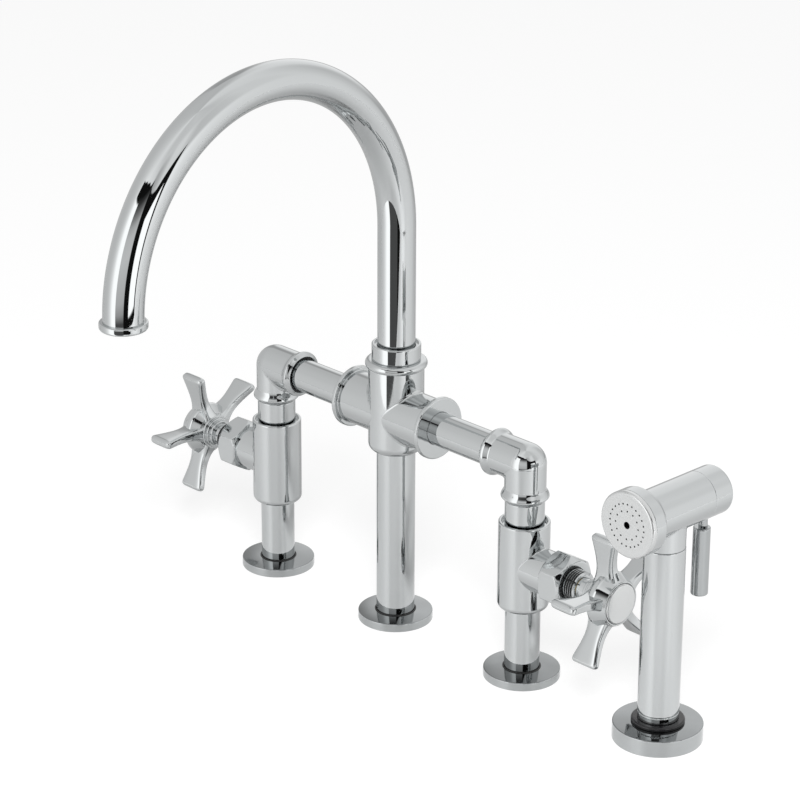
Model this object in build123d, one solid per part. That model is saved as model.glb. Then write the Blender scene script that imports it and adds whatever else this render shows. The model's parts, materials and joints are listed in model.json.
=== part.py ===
from build123d import *
import math
import os

# Bridge kitchen faucet with a side sprayer. Millimetres, +Z up, the bridge runs along X with the hot
# side at -X, and -Y is towards the user. The origin is on the centre column's axis at deck level.

# ---- fits -----------------------------------------------------------------------------------
slip_fit = 0.1            # radial gap between two fixed pieces, one inside the other
running_fit = 0.08        # radial gap of a shaft that turns or slides in its hole
free_gap = 0.3            # gap between faces of pieces that move past each other

# ---- layout ---------------------------------------------------------------------------------
column_offset = 101.6     # centre column to each side column, half of 8 in
sprayer_offset = 202.9    # centre column to the sprayer
bridge_height = 128.5     # deck to the bridge tubes' axis
handle_drop = 60.0        # bridge axis to the handles' axis
handle_height = bridge_height - handle_drop
spout_swing = 4.1         # degrees from -Y towards +X at which the spout stands

# ---- deck flanges and columns ---------------------------------------------------------------
flange_radius = 21.6
flange_thickness = 5.4
flange_edge = 0.8
thread_radius = 7.47      # minor radius of a G3/8 inside thread
thread_length = 14.0
foot_seal_section = 0.5   # radius of the round section
foot_seal_stand = 0.5     # how far the ring shows above the flange
side_column_radius = 9.9
side_column_bore = 8.2
centre_column_radius = 11.05
centre_column_bore = 9.0
bore_run_out = 1.5        # length of the taper between a thread and the bore above it

# ---- valve body, riser and elbow ------------------------------------------------------------
body_radius = 14.45
body_foot_drop = 26.1      # handles' axis to the body's lower end
body_bottom = handle_height - body_foot_drop
body_rim = 1.0
body_foot_edge = 3.2
column_socket = 10.0      # how deep a column goes into what it carries
recess_radius = 12.8      # ring-shaped recess round the riser
recess_depth = 2.2
stub_radius = 12.5
stub_end = 24.0           # along the handle's axis, from the column's axis
riser_radius = 11.1
riser_bore = 8.6
elbow_radius = 11.6
elbow_waterway = 6.5
elbow_mouth = 24.6        # column axis to the elbow's open end
bead_radius = 13.5
bead_width = 5.0
bead_inset = 2.6          # elbow mouth to the middle of its bead
riser_bead_drop = 19.1     # bridge axis to the middle of the bead below it
riser_bead_height = bridge_height - riser_bead_drop
riser_show = 12.6          # length of the riser in sight
body_top = riser_bead_height - bead_width / 2 - riser_show
mouth_recess = 2.0
bridge_tube_radius = 9.6
bridge_tube_bore = 7.4
bridge_socket = 12.0
bridge_seal_length = 1.6

# ---- centre body ----------------------------------------------------------------------------
barrel_radius = 15.9
barrel_drop = 22.9        # bridge axis to the barrel's lower end
barrel_rise = 32.5        # bridge axis to its upper end
barrel_bottom = bridge_height - barrel_drop
barrel_top = bridge_height + barrel_rise
barrel_foot_edge = 5.0
arm_radius = 15.4
arm_reach = 34.8
arm_disc_radius = 18.0
arm_disc_thickness = 2.8
top_bead_radius = 17.7
top_bead_width = 4.8
chamber_radius = 10.0
nut_thread_radius = 13.0
nut_thread_depth = 8.0

# ---- spout ----------------------------------------------------------------------------------
spout_radius = 10.75
spout_bore = 9.0
spout_reach = 207.4
spout_bend_height = 239.6
spout_tip_drop = 3.0       # straight tube below the bend at the tip, as far as the tip's lower face
spout_tip_height = spout_bend_height - spout_tip_drop
tip_ring_radius = 12.7
tip_ring_height = 4.2
spout_foot_radius = 9.6
spout_foot_bore = 7.4
spout_foot_length = 9.0
oring_section = 0.9
oring_groove_depth = 1.5
clip_groove_depth = 0.85
clip_thickness = 1.2
clip_width = 2.2
clip_opening = 5.0
bush_height = 4.6
nut_radius = 14.0
nut_stand = 9.4
nut_top = barrel_top + nut_stand
nut_recess = 1.2
aerator_height = 6.2
aerator_wall = 1.3
screen_thickness = 1.0
screen_hole_radius = 0.9

# ---- diverter -------------------------------------------------------------------------------
diverter_travel = 3.0
diverter_seat_height = 3.0
diverter_seat_bore = 6.5
diverter_hub_radius = 3.2
diverter_hub_height = 1.2
diverter_spoke = 2.0
diverter_stem_radius = 1.5
diverter_head_radius = 2.6
diverter_head_height = 1.2
diverter_disc_radius = 8.2
diverter_disc_thickness = 2.0
diverter_wire = 0.25      # radius of the spring's wire
diverter_coils = 2.75

# ---- valve cartridge, along the handle's axis from the column's axis -------------------------
seat_plane = 2.0
seal_thickness = 2.0
seal_bore = 4.6
disc_thickness = 3.0
disc_radius = 6.6
disc_port_radius = 1.7
disc_port_circle = 3.6
chamber_bore = 9.0
cartridge_shoulder = 34.0
cartridge_neck_radius = 6.5
stem_radius = 4.1
stem_head_thickness = 3.0
bonnet_spigot_radius = 11.0
bonnet_spigot_length = 9.0
bonnet_corner_radius = 16.2
bonnet_end = 38.4
bonnet_chamfer = 1.6
gland_radius = 9.0
gland_end = 44.4
gland_wall = 1.3
gland_grooves = 3
gland_groove_width = 0.9
gland_groove_depth = 0.8
inlet_port_offset = 6.0
inlet_port_radius = 3.4
outlet_port_radius = 4.3
outlet_port_offset = 7.0

# ---- cross handle ---------------------------------------------------------------------------
handle_neck_radius = 6.2
handle_neck_length = 6.0
handle_steps = ((8.0, 2.4), (9.2, 1.8), (10.4, 2.6))   # radius and length of each step up to the hub
hub_back_radius = 11.6
hub_radius = 16.0
hub_plane = 63.6          # middle of the arms
hub_flat = 1.6            # half the length of the hub's widest part
hub_front = 72.0
hub_front_radius = 12.6
button_radius = 11.4
button_face = 72.9
button_thickness = 2.4
arm_count = 5
arm_root = 12.5
arm_length = 38.3
arm_root_width = 12.4
arm_neck_width = 11.6
arm_neck_place = 21.0
arm_tip_width = 17.4
arm_root_thickness = 6.8
arm_tip_thickness = 5.4
arm_tip_round = 2.4
arm_edge = 1.8
cold_handle_angle = 7.0   # first arm, degrees from +Z towards -Y
hot_handle_angle = 16.0
screw_radius = 1.95
screw_head_radius = 3.6
screw_head_height = 2.2
screw_length = 12.0
screw_socket = 1.4

# ---- sprayer --------------------------------------------------------------------------------
spray_flange_radius = 24.6
spray_flange_thickness = 9.8
spray_flange_edge = 1.6
guide_radius = 14.6
guide_rim = 2.2
guide_sleeve_radius = 13.2
wand_radius = 11.35
wand_wall = 1.75
wand_spigot_radius = 10.6
wand_spigot_bore = 8.8
wand_spigot_bottom = 2.0
wand_groove_height = 3.0
wand_groove = 0.5
connector_radius = 8.4
connector_bottom = 1.0
connector_thread_radius = 5.72    # minor radius of a G1/4 inside thread
connector_thread_length = 12.0
connector_bore = 4.0
connector_collar = 3.0
connector_nose = 6.0
connector_nose_radius = 6.4
swivel_seal_section = 0.9
head_height = 133.85
wand_top_drop = 21.25     # head axis to the wand's upper end
wand_top = head_height - wand_top_drop
head_radius = 13.5
head_rear = 39.3
head_split = 25.0
head_edge = 2.2
neck_spigot_length = 10.0
neck_waterway = 5.0
nose_radius = 18.4
nose_front = 30.6
nose_back = 20.0
nose_shoulder = 4.6
face_thickness = 3.0
face_edge = 1.3
face_spigot_radius = 15.2
face_spigot_wall = 1.3
face_spigot_length = 3.4
nose_chamber_depth = 6.5
ring_holes = (24, 12)
ring_radii = (11.7, 7.8)
spray_hole_radius = 0.5
centre_jet_radius = 2.0
valve_bore = 7.4
valve_seat = 15.0         # behind the nose, towards -Y from the wand's axis
valve_seat_bore = 4.4
cap_spigot_radius = 10.4
cap_spigot_length = 5.6
cap_wall = 2.0
plunger_disc_radius = 7.0
plunger_disc_thickness = 2.6
plunger_rod_radius = 2.4
plunger_waist_radius = 1.6
plunger_collar_radius = 4.6
plunger_collar_thickness = 1.2
plunger_tail_radius = 1.4
plunger_tail_length = 2.2
spray_wire = 0.25
spray_coils = 2.5
lever_place = 29.8        # behind the wand's axis
lever_radius = 4.75
lever_top_drop = 19.4     # head axis to the top of the lever's grip
lever_length = 39.3
lever_top = head_height - lever_top_drop
lever_bottom = lever_top - lever_length
lever_edge = 0.7
lever_neck_radius = 2.5
lever_neck_shift = 0.8
lever_pivot_drop = 9.6    # head axis to the lever's pin
lever_blade_width = 4.4
lever_blade_depth = 3.2
lever_finger_radius = 1.3
lever_travel = 10.0       # degrees
lever_play = 0.5          # gap between the lever's finger and each of the plunger's collars
lever_pin_radius = 1.5
lever_pin_length = 15.4


# ---- helpers --------------------------------------------------------------------------------
def turned(*points, radii=None):
    """A solid of revolution about Z from (radius, height) corners, with a rounding radius for each."""
    if radii is None:
        outline = Polyline(*points, close=True)
    else:
        outline = FilletPolyline(*points, radius=radii, close=True)
    return revolve(Plane.XZ * make_face(outline), Axis.Z)


def rod(radius, bottom, top):
    return turned((0, bottom), (radius, bottom), (radius, top), (0, top))


def tube(outer, inner, bottom, top):
    return turned((inner, bottom), (outer, bottom), (outer, top), (inner, top))


def round_ring(middle_radius, section, height):
    """A ring of round section, such as an O-ring."""
    return revolve(Plane.XZ * (Pos(middle_radius, height) * Circle(section)), Axis.Z)


def bead(tube_radius, outer_radius, width, height):
    """A rounded band round a tube, centred on the height given."""
    inside = tube_radius - 0.5
    curve = ThreePointArc((tube_radius, height - width / 2), (outer_radius, height),
                          (tube_radius, height + width / 2))
    closing = Polyline((tube_radius, height + width / 2), (inside, height + width / 2),
                       (inside, height - width / 2), (tube_radius, height - width / 2))
    return revolve(Plane.XZ * make_face(curve + closing), Axis.Z)


def box_between(low, high):
    size = [b - a for a, b in zip(low, high)]
    middle = [(a + b) / 2 for a, b in zip(low, high)]
    return Pos(*middle) * Box(*size)


def coil(radius, wire_radius, bottom, top, turns):
    """A compression spring of round wire, standing between two heights."""
    height = top - bottom - 2 * wire_radius
    path = Helix(pitch=height / turns, height=height, radius=radius)
    section = Plane(origin=path @ 0, z_dir=path % 0) * Circle(wire_radius)
    return Pos(0, 0, bottom + wire_radius) * sweep(section, path=path)


def outwards(part):
    """Turns a piece made along Z so that it lies along +X."""
    return Rot(0, 90, 0) * part


def rearwards(part):
    """Turns a piece made along Z so that it lies along +Y."""
    return Rot(-90, 0, 0) * part


# ---- deck flanges and columns ---------------------------------------------------------------
def deck_flange(column_radius):
    """Round cover plate with a seat at its top for the seal ring."""
    hole = column_radius + slip_fit
    seat = column_radius + 2 * foot_seal_section + slip_fit
    seat_floor = flange_thickness + foot_seal_stand - 2 * foot_seal_section
    return turned((hole, 0), (flange_radius, 0), (flange_radius, flange_thickness),
                  (seat, flange_thickness), (seat, seat_floor), (hole, seat_floor),
                  radii=[0, 0, flange_edge, 0, 0, 0])


def foot_seal(column_radius):
    middle = column_radius + foot_seal_section
    return round_ring(middle, foot_seal_section, flange_thickness + foot_seal_stand - foot_seal_section)


def lower_column():
    """Tube from the deck up into the valve body, with an inside thread at its foot."""
    return threaded_column(side_column_radius, side_column_bore, body_bottom + column_socket)


def centre_column():
    return threaded_column(centre_column_radius, centre_column_bore, barrel_bottom + column_socket)


def threaded_column(radius, bore, top):
    return turned((thread_radius, 0), (radius, 0), (radius, top), (bore, top),
                  (bore, thread_length + bore_run_out), (thread_radius, thread_length))


# ---- valve side, built round its own column's axis with the handle towards +X -----------------
def valve_body():
    """Upright barrel with a side stub, sockets for both tubes, a cartridge chamber and two ports."""
    barrel = turned((0, body_bottom), (body_radius, body_bottom), (body_radius, body_top), (0, body_top),
                    radii=[0, body_foot_edge, body_rim, 0])
    stub = Pos(0, 0, handle_height) * outwards(rod(stub_radius, 0, stub_end))
    solid = barrel + stub
    column_seat = body_bottom + column_socket
    riser_seat = body_top - column_socket
    solid -= rod(side_column_radius + slip_fit, body_bottom - 1, column_seat)
    solid -= rod(riser_radius + slip_fit, riser_seat, body_top + 1)
    solid -= rod(recess_radius, body_top - recess_depth, body_top + 1)
    bores = rod(chamber_bore, seat_plane, stub_end + 1)
    bores += rod(bonnet_spigot_radius + slip_fit, stub_end - bonnet_spigot_length, stub_end + 1)
    bores += rod(seal_bore, -inlet_port_offset, seat_plane + 1)
    solid -= Pos(0, 0, handle_height) * outwards(bores)
    solid -= Pos(-inlet_port_offset, 0, 0) * rod(inlet_port_radius, column_seat - 1, handle_height)
    solid -= Pos(outlet_port_offset, 0, 0) * rod(outlet_port_radius, handle_height, riser_seat + 1)
    return solid


def riser():
    return tube(riser_radius, riser_bore, body_top - column_socket, riser_bead_height - bead_width / 2)


def elbow():
    """Square bend with a ball corner, a bead at each end, a spigot below and a socket at its mouth."""
    foot = riser_bead_height - bead_width / 2

    def run(radius):
        upright = rod(radius, foot, bridge_height)
        half_disc = Circle(radius) - Pos(-radius, 0) * Rectangle(2 * radius, 2 * radius)
        corner = revolve(Plane.XY.offset(bridge_height) * half_disc, Axis((0, 0, bridge_height), (0, -1, 0)), 90)
        level = Pos(0, 0, bridge_height) * outwards(rod(radius, -elbow_mouth, 0))
        return upright + level + corner

    solid = run(elbow_radius)
    solid += bead(elbow_radius, bead_radius, bead_width, riser_bead_height)
    solid += rod(riser_bore - slip_fit, foot - column_socket, foot)
    mouth_bead = bead(elbow_radius, bead_radius, bead_width, bead_inset - elbow_mouth)
    solid += Pos(0, 0, bridge_height) * outwards(mouth_bead)
    solid -= run(elbow_waterway)
    solid -= rod(elbow_waterway, foot - column_socket - 1, foot)
    socket = rod(bridge_tube_radius + slip_fit, -elbow_mouth - 1, bridge_socket - elbow_mouth)
    socket += rod(mouth_recess_radius(), -elbow_mouth - 1, mouth_recess + bridge_seal_length - elbow_mouth)
    solid -= Pos(0, 0, bridge_height) * outwards(socket)
    return solid


def mouth_recess_radius():
    """Radius of the ring-shaped recess round the bridge tube, where its seal lies."""
    return elbow_radius - 0.35


def bridge_seal(face, direction):
    """Seal ring round the bridge tube, just inside the recess; face is its socket's outer plane."""
    start = face + direction * mouth_recess
    low, high = sorted((start, start + direction * bridge_seal_length))
    ring = tube(mouth_recess_radius() - slip_fit, bridge_tube_radius + slip_fit / 2, low, high)
    return Pos(0, 0, bridge_height) * outwards(ring)


def bonnet_nut():
    """Hexagon nut on the stub: a threaded spigot inside it and a wall that holds the cartridge."""
    flat_radius = bonnet_corner_radius * math.cos(math.pi / 6)
    length = bonnet_end - stub_end
    hexagon = Pos(0, 0, stub_end) * extrude(RegularPolygon(bonnet_corner_radius, 6), length)
    limit = turned((0, stub_end), (bonnet_corner_radius - bonnet_chamfer, stub_end),
                   (bonnet_corner_radius + 0.2, stub_end + bonnet_chamfer),
                   (bonnet_corner_radius + 0.2, bonnet_end - 2 * bonnet_chamfer),
                   (flat_radius - bonnet_chamfer / 2, bonnet_end), (0, bonnet_end))
    solid = (hexagon & limit) + rod(bonnet_spigot_radius, stub_end - bonnet_spigot_length, stub_end)
    solid -= rod(chamber_bore, stub_end - bonnet_spigot_length - 1, cartridge_shoulder + slip_fit)
    solid -= rod(cartridge_neck_radius + slip_fit, cartridge_shoulder, bonnet_end + 1)
    return Rot(30, 0, 0) * outwards(solid)


def gland_collar():
    """Ribbed collar round the cartridge's neck, open to the stem."""
    solid = turned((0, bonnet_end), (gland_radius, bonnet_end), (gland_radius, gland_end), (0, gland_end),
                   radii=[0, 0.4, 0.8, 0])
    solid -= rod(cartridge_neck_radius + slip_fit, bonnet_end - 1, gland_end - gland_wall)
    solid -= rod(stem_radius + free_gap, gland_end - gland_wall - 1, gland_end + 1)
    pitch = (gland_end - bonnet_end) / (gland_grooves + 1)
    for i in range(gland_grooves):
        middle = bonnet_end + pitch * (i + 1)
        solid -= tube(gland_radius + 1, gland_radius - gland_groove_depth,
                      middle - gland_groove_width / 2, middle + gland_groove_width / 2)
    return outwards(solid)


def disc_chamber_end():
    """Plane behind the stem's head, where the cartridge's stem bore starts."""
    return seat_plane + seal_thickness + 2 * disc_thickness + stem_head_thickness + 3 * free_gap


def cartridge_body():
    """Brass barrel that holds the discs, with two windows for the water and a neck for the gland."""
    start = seat_plane + seal_thickness
    outer = chamber_bore - slip_fit
    solid = turned((0, start), (outer, start), (outer, cartridge_shoulder),
                   (cartridge_neck_radius, cartridge_shoulder),
                   (cartridge_neck_radius, gland_end - gland_wall - slip_fit),
                   (0, gland_end - gland_wall - slip_fit))
    solid -= rod(disc_radius + free_gap, start - 1, disc_chamber_end())
    solid -= rod(stem_radius + running_fit, disc_chamber_end() - 1, gland_end)
    window_start = start + disc_thickness + 0.4
    solid -= box_between((-2.6, -outer - 1, window_start), (2.6, outer + 1, window_start + disc_thickness - 0.4))
    return outwards(solid)


def cartridge_seal():
    start = seat_plane
    return outwards(tube(chamber_bore - slip_fit, seal_bore, start, start + seal_thickness))


def ceramic_disc(start, radius):
    """Disc with two round ports, one each side of its middle."""
    disc = rod(radius, start, start + disc_thickness)
    for angle in (0, 180):
        disc -= Rot(0, 0, angle) * Pos(disc_port_circle, 0, 0) * rod(disc_port_radius, start - 1,
                                                                     start + disc_thickness + 1)
    return outwards(disc)


def fixed_disc():
    return ceramic_disc(seat_plane + seal_thickness, disc_radius + free_gap - slip_fit)


def turning_disc_start():
    return seat_plane + seal_thickness + disc_thickness + free_gap / 2


def turning_disc():
    """The upper disc, a quarter turn away from the ports of the fixed one when closed."""
    return Rot(90, 0, 0) * ceramic_disc(turning_disc_start(), disc_radius)


def stem_end():
    return hub_plane - 2.0


def valve_stem():
    """Head that drives the turning disc, and a shaft out to the handle with a screw hole in its end."""
    head_start = turning_disc_start() + disc_thickness
    head = rod(disc_radius, head_start, head_start + stem_head_thickness)
    shaft = rod(stem_radius, head_start, stem_end())
    hole = rod(screw_radius + slip_fit / 2, stem_end() - screw_length, stem_end() + 1)
    return outwards(head + shaft - hole)


def handle_arm():
    """One paddle: narrow at its neck, wide and thin at its tip, drawn out along +Z."""
    stations = [
        (arm_root, arm_root_width, arm_root_thickness),
        (arm_neck_place, arm_neck_width, (arm_root_thickness + arm_tip_thickness) / 2),
        ((arm_neck_place + arm_length) / 2 + 0.7, (arm_neck_width + arm_tip_width) / 2 - 0.3,
         arm_tip_thickness + 0.3),
        (arm_length - arm_tip_round, arm_tip_width, arm_tip_thickness),
        (arm_length, arm_tip_width - arm_tip_round, arm_tip_thickness - arm_tip_round / 2),
    ]
    sections = []
    for place, width, thickness in stations:
        edge = min(arm_edge, thickness * 0.4)
        sections.append(Plane.XY.offset(place) * RectangleRounded(width, thickness, edge))
    return loft(sections)


def handle_hub():
    """Neck, step and rounded hub, along Z."""
    start = gland_end + free_gap
    place = start + handle_neck_length
    corners = [(0, start), (handle_neck_radius, start), (handle_neck_radius, place)]
    radii = [0, 0.4, 0]
    for radius, length in handle_steps:
        corners += [(radius, place), (radius, place + length)]
        radii += [0.4, 0]
        place += length
    corners += [(hub_back_radius, place), (hub_radius, hub_plane - hub_flat), (hub_radius, hub_plane + hub_flat),
                (hub_front_radius, hub_front), (0, hub_front)]
    radii += [0.6, 2.4, 4.0, 0.9, 0]
    return turned(*corners, radii=radii)


def cross_handle(first_arm):
    """Hub with a neck and five paddles; first_arm is in degrees from +Z towards -Y."""
    solid = outwards(handle_hub())
    for i in range(arm_count):
        angle = first_arm + i * 360 / arm_count
        solid += Rot(angle, 0, 0) * Pos(hub_plane, 0, 0) * handle_arm()
    button_seat = button_face - button_thickness - slip_fit
    head_floor = stem_end() + 1.2
    bores = rod(button_radius + free_gap, button_seat, hub_front + 1)
    bores += rod(screw_head_radius + free_gap, head_floor, hub_front + 1)
    bores += rod(screw_radius + free_gap, stem_end() - 1, hub_front)
    bores += rod(stem_radius + slip_fit / 2, gland_end, stem_end() + slip_fit)
    return solid - outwards(bores)


def index_button():
    """Plain round cover over the handle's screw, with a soft edge."""
    back = button_face - button_thickness
    return outwards(turned((0, back), (button_radius, back), (button_radius, button_face), (0, button_face),
                           radii=[0, 0, 0.9, 0]))


def handle_screw():
    """Cap screw with a hexagon socket that holds the handle on its stem."""
    head_floor = stem_end() + 1.2
    solid = rod(screw_radius, stem_end() - screw_length + 1, head_floor)
    solid += rod(screw_head_radius, head_floor, head_floor + screw_head_height)
    socket = extrude(RegularPolygon(screw_socket * 1.2, 6), screw_socket + 1)
    return outwards(solid - Pos(0, 0, head_floor + screw_head_height - screw_socket) * socket)


# ---- centre body ----------------------------------------------------------------------------
def cross_body():
    """Upright barrel crossed by a level one, with a water chamber and four sockets."""
    solid = turned((0, barrel_bottom), (barrel_radius, barrel_bottom), (barrel_radius, barrel_top),
                   (0, barrel_top), radii=[0, barrel_foot_edge, 0.8, 0])
    solid += bead(barrel_radius, top_bead_radius, top_bead_width, barrel_top - top_bead_width / 2)
    level = rod(arm_radius, -arm_reach, arm_reach)
    for side in (-1, 1):
        low, high = sorted((side * (arm_reach - arm_disc_thickness), side * arm_reach))
        level += turned((0, low), (arm_disc_radius, low), (arm_disc_radius, high), (0, high),
                        radii=[0, 0.7, 0.7, 0])
    solid += Pos(0, 0, bridge_height) * outwards(level)
    tube_hole = bridge_tube_radius + slip_fit
    waterway = rod(bridge_tube_bore, -arm_reach, arm_reach)
    for side in (-1, 1):
        low, high = sorted((side * (arm_reach - bridge_socket), side * (arm_reach + 1)))
        waterway += rod(tube_hole, low, high)
        groove = sorted((side * (arm_reach - mouth_recess - bridge_seal_length), side * (arm_reach - mouth_recess)))
        waterway += rod(mouth_recess_radius(), *groove)
    solid -= Pos(0, 0, bridge_height) * outwards(waterway)
    solid -= rod(centre_column_radius + slip_fit, barrel_bottom - 1, barrel_bottom + column_socket)
    solid -= rod(chamber_radius, barrel_bottom + column_socket - 1, barrel_top)
    solid -= rod(nut_thread_radius, spout_ledge(), barrel_top + 1)
    return solid


def spout_ledge():
    """Ledge in the centre body that the spout's bush stands on."""
    return barrel_top - nut_thread_depth - clip_thickness - 2 * free_gap - bush_height


def clip_height():
    return spout_ledge() + bush_height + free_gap


def spout_bush():
    return tube(nut_thread_radius - slip_fit, spout_radius + running_fit, spout_ledge(),
                spout_ledge() + bush_height)


def spout_nut():
    """Round nut that keeps the spout's clip in place and lets the tube turn."""
    spigot = clip_height() + clip_thickness + free_gap
    bore = spout_radius + free_gap
    recess = bore + 1.4
    return turned((bore, spigot), (nut_thread_radius - slip_fit, spigot), (nut_thread_radius - slip_fit, barrel_top),
                  (nut_radius, barrel_top), (nut_radius, nut_top), (recess, nut_top),
                  (recess, nut_top - nut_recess), (bore, nut_top - nut_recess),
                  radii=[0, 0, 0, 0, 0.8, 0, 0, 0])


# ---- spout, built in the XZ plane towards +X and then swung to its place ----------------------
def swing(part):
    return Rot(0, 0, spout_swing - 90) * part


def spout_foot():
    """Lower end of the spout's narrow foot, where the O-rings are."""
    return spout_ledge() - free_gap - spout_foot_length


def oring_heights():
    foot = spout_foot()
    return [foot + spout_foot_length * share for share in (0.28, 0.72)]


def spout_tube():
    """Straight tube with a turned foot, a half-circle bend and a short drop to the tip."""
    foot, shoulder, start = spout_foot(), spout_ledge(), clip_height()
    groove = spout_radius - clip_groove_depth
    solid = turned((spout_foot_bore, foot), (spout_foot_radius, foot), (spout_foot_radius, shoulder + free_gap),
                   (spout_radius, shoulder + 2 * free_gap), (spout_radius, start), (groove, start),
                   (groove, start + clip_thickness + free_gap / 2),
                   (spout_radius, start + clip_thickness + free_gap / 2), (spout_radius, spout_bend_height),
                   (spout_bore, spout_bend_height), (spout_bore, start + 6), (spout_foot_bore, start + 4))
    for height in oring_heights():
        solid -= tube(spout_foot_radius + 1, spout_foot_radius - oring_groove_depth,
                      height - oring_section - 0.1, height + oring_section + 0.1)
    ring = Plane.XY.offset(spout_bend_height) * (Circle(spout_radius) - Circle(spout_bore))
    bend_radius = spout_reach / 2
    solid += revolve(ring, Axis((bend_radius, 0, spout_bend_height), (0, 1, 0)), 180)
    solid += Pos(spout_reach, 0, 0) * tube(spout_radius, spout_bore, spout_tip_height + 1.0, spout_bend_height)
    return swing(solid)


def spout_tip_ring():
    """Rounded ring round the open end of the spout."""
    inner = spout_radius + slip_fit / 2
    low = spout_tip_height
    solid = turned((inner, low + 1.0), (inner, low + tip_ring_height), (tip_ring_radius, low + tip_ring_height),
                   (tip_ring_radius, low), (spout_bore + 0.2, low), (spout_bore + 0.2, low + 0.9),
                   (inner - 0.2, low + 0.9), radii=[0, 0, 1.6, 1.6, 0, 0, 0])
    return swing(Pos(spout_reach, 0, 0) * solid)


def aerator_body():
    """Ring-shaped housing inside the tip, with a cross of ribs above the screen."""
    outer = spout_bore - slip_fit
    low = spout_tip_height + 0.3
    high = low + aerator_height
    solid = tube(outer, outer - aerator_wall, low, high)
    rib_low = low + screen_thickness + 1.2
    for angle in (0, 90):
        rib = box_between((-outer + 0.5, -0.6, rib_low), (outer - 0.5, 0.6, high - 1))
        solid += Rot(0, 0, angle) * rib
    solid &= rod(outer, low, high)
    return swing(Pos(spout_reach, 0, 0) * solid)


def aerator_screen():
    """Thin plate with rings of small holes."""
    outer = spout_bore - slip_fit - aerator_wall - slip_fit / 2
    low = spout_tip_height + 0.9
    plate = rod(outer, low, low + screen_thickness)
    pitch = outer / 3.2
    for ring in (1, 2):
        count = 6 * ring + 2
        hole = Pos(ring * pitch + 0.5, 0, 0) * rod(screen_hole_radius, low - 1, low + screen_thickness + 1)
        for i in range(count):
            plate -= Rot(0, 0, 360 * i / count) * hole
    return swing(Pos(spout_reach, 0, 0) * plate)


def spout_orings():
    middle = chamber_radius - running_fit - oring_section
    return [round_ring(middle, oring_section, height) for height in oring_heights()]


def spout_clip():
    """Open ring in the spout's groove that keeps the tube from lifting out."""
    inner = spout_radius - clip_groove_depth + slip_fit / 2
    low = clip_height()
    solid = tube(inner + clip_width, inner, low, low + clip_thickness)
    solid -= box_between((0, -clip_opening / 2, low - 1), (nut_radius, clip_opening / 2, low + clip_thickness + 1))
    return swing(solid)


# ---- diverter -------------------------------------------------------------------------------
def diverter_seat_top():
    return spout_foot() - 0.6


def diverter_hub_bottom():
    return diverter_seat_top() - diverter_hub_height


def diverter_seat():
    """Ring in the water chamber with a small guide on three spokes."""
    top = diverter_seat_top()
    low = top - diverter_seat_height
    solid = tube(chamber_radius - slip_fit / 2, diverter_seat_bore, low, top)
    for i in range(3):
        spoke = box_between((0, -diverter_spoke / 2, diverter_hub_bottom()),
                            (diverter_seat_bore + 0.5, diverter_spoke / 2, top))
        solid += Rot(0, 0, 60 + 120 * i) * spoke
    solid += rod(diverter_hub_radius, diverter_hub_bottom(), top)
    return solid - rod(diverter_stem_radius + free_gap, low - 1, top + 1)


def diverter_disc_top():
    return diverter_seat_top() - diverter_seat_height - diverter_travel - free_gap / 2


def diverter_piston():
    """Disc on a stem that hangs by its head from the seat's guide."""
    disc_top = diverter_disc_top()
    head = diverter_seat_top() + free_gap
    solid = turned((0, disc_top - diverter_disc_thickness), (diverter_disc_radius, disc_top - diverter_disc_thickness),
                   (diverter_disc_radius, disc_top), (0, disc_top), radii=[0, 0.5, 0.5, 0])
    solid += rod(diverter_stem_radius, disc_top, head)
    solid += rod(diverter_head_radius, head, head + diverter_head_height)
    return solid


def diverter_spring():
    radius = diverter_stem_radius + free_gap + diverter_wire + 0.2
    return coil(radius, diverter_wire, diverter_disc_top() + 0.05, diverter_hub_bottom() - 0.05, diverter_coils)


# ---- sprayer, built round its own upright axis ------------------------------------------------
def guide_top():
    return spray_flange_thickness + guide_rim


def wand_bottom():
    return guide_top() + free_gap


def spray_deck_flange():
    return turned((guide_sleeve_radius + slip_fit, 0), (spray_flange_radius, 0),
                  (spray_flange_radius, spray_flange_thickness),
                  (guide_sleeve_radius + slip_fit, spray_flange_thickness), radii=[0, 0, spray_flange_edge, 0])


def spray_guide_bush():
    """Plastic bush that the wand drops into, with a rim on top of the flange."""
    bore = wand_spigot_radius + free_gap
    return turned((bore, 0.5), (guide_sleeve_radius, 0.5), (guide_sleeve_radius, spray_flange_thickness),
                  (guide_radius, spray_flange_thickness), (guide_radius, guide_top()), (bore, guide_top()),
                  radii=[0, 0, 0, 0, 1.0, 0])


def collar_bottom():
    """Underside of the connector's collar, just above the wand's inner step."""
    return wand_bottom() + 6.0


def wand_tube():
    """Hand grip tube with a narrow spigot below that drops into the guide bush."""
    low, inner = wand_bottom(), wand_radius - wand_wall
    step = collar_bottom() - free_gap
    groove = low + wand_groove_height
    return turned((wand_spigot_bore, wand_spigot_bottom), (wand_spigot_radius, wand_spigot_bottom),
                  (wand_spigot_radius, low), (wand_radius, low), (wand_radius, groove),
                  (wand_radius - wand_groove, groove + wand_groove), (wand_radius, groove + 2 * wand_groove),
                  (wand_radius, wand_top), (inner, wand_top), (inner, step), (wand_spigot_bore, step),
                  radii=[0, 0.8, 0, 0.5, 0.2, 0, 0.2, 0.2, 0, 0, 0])


def hose_connector():
    """Threaded end for the hose, trapped in the wand so that the wand can turn on it."""
    collar = collar_bottom()
    collar_radius = wand_radius - wand_wall - free_gap
    top = collar + connector_collar
    thread_end = connector_bottom + connector_thread_length
    return turned((connector_thread_radius, connector_bottom), (connector_radius, connector_bottom),
                  (connector_radius, collar), (collar_radius, collar), (collar_radius, top),
                  (connector_nose_radius, top), (connector_nose_radius, top + connector_nose),
                  (connector_bore, top + connector_nose), (connector_bore, thread_end + 1.7),
                  (connector_thread_radius, thread_end))


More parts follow.
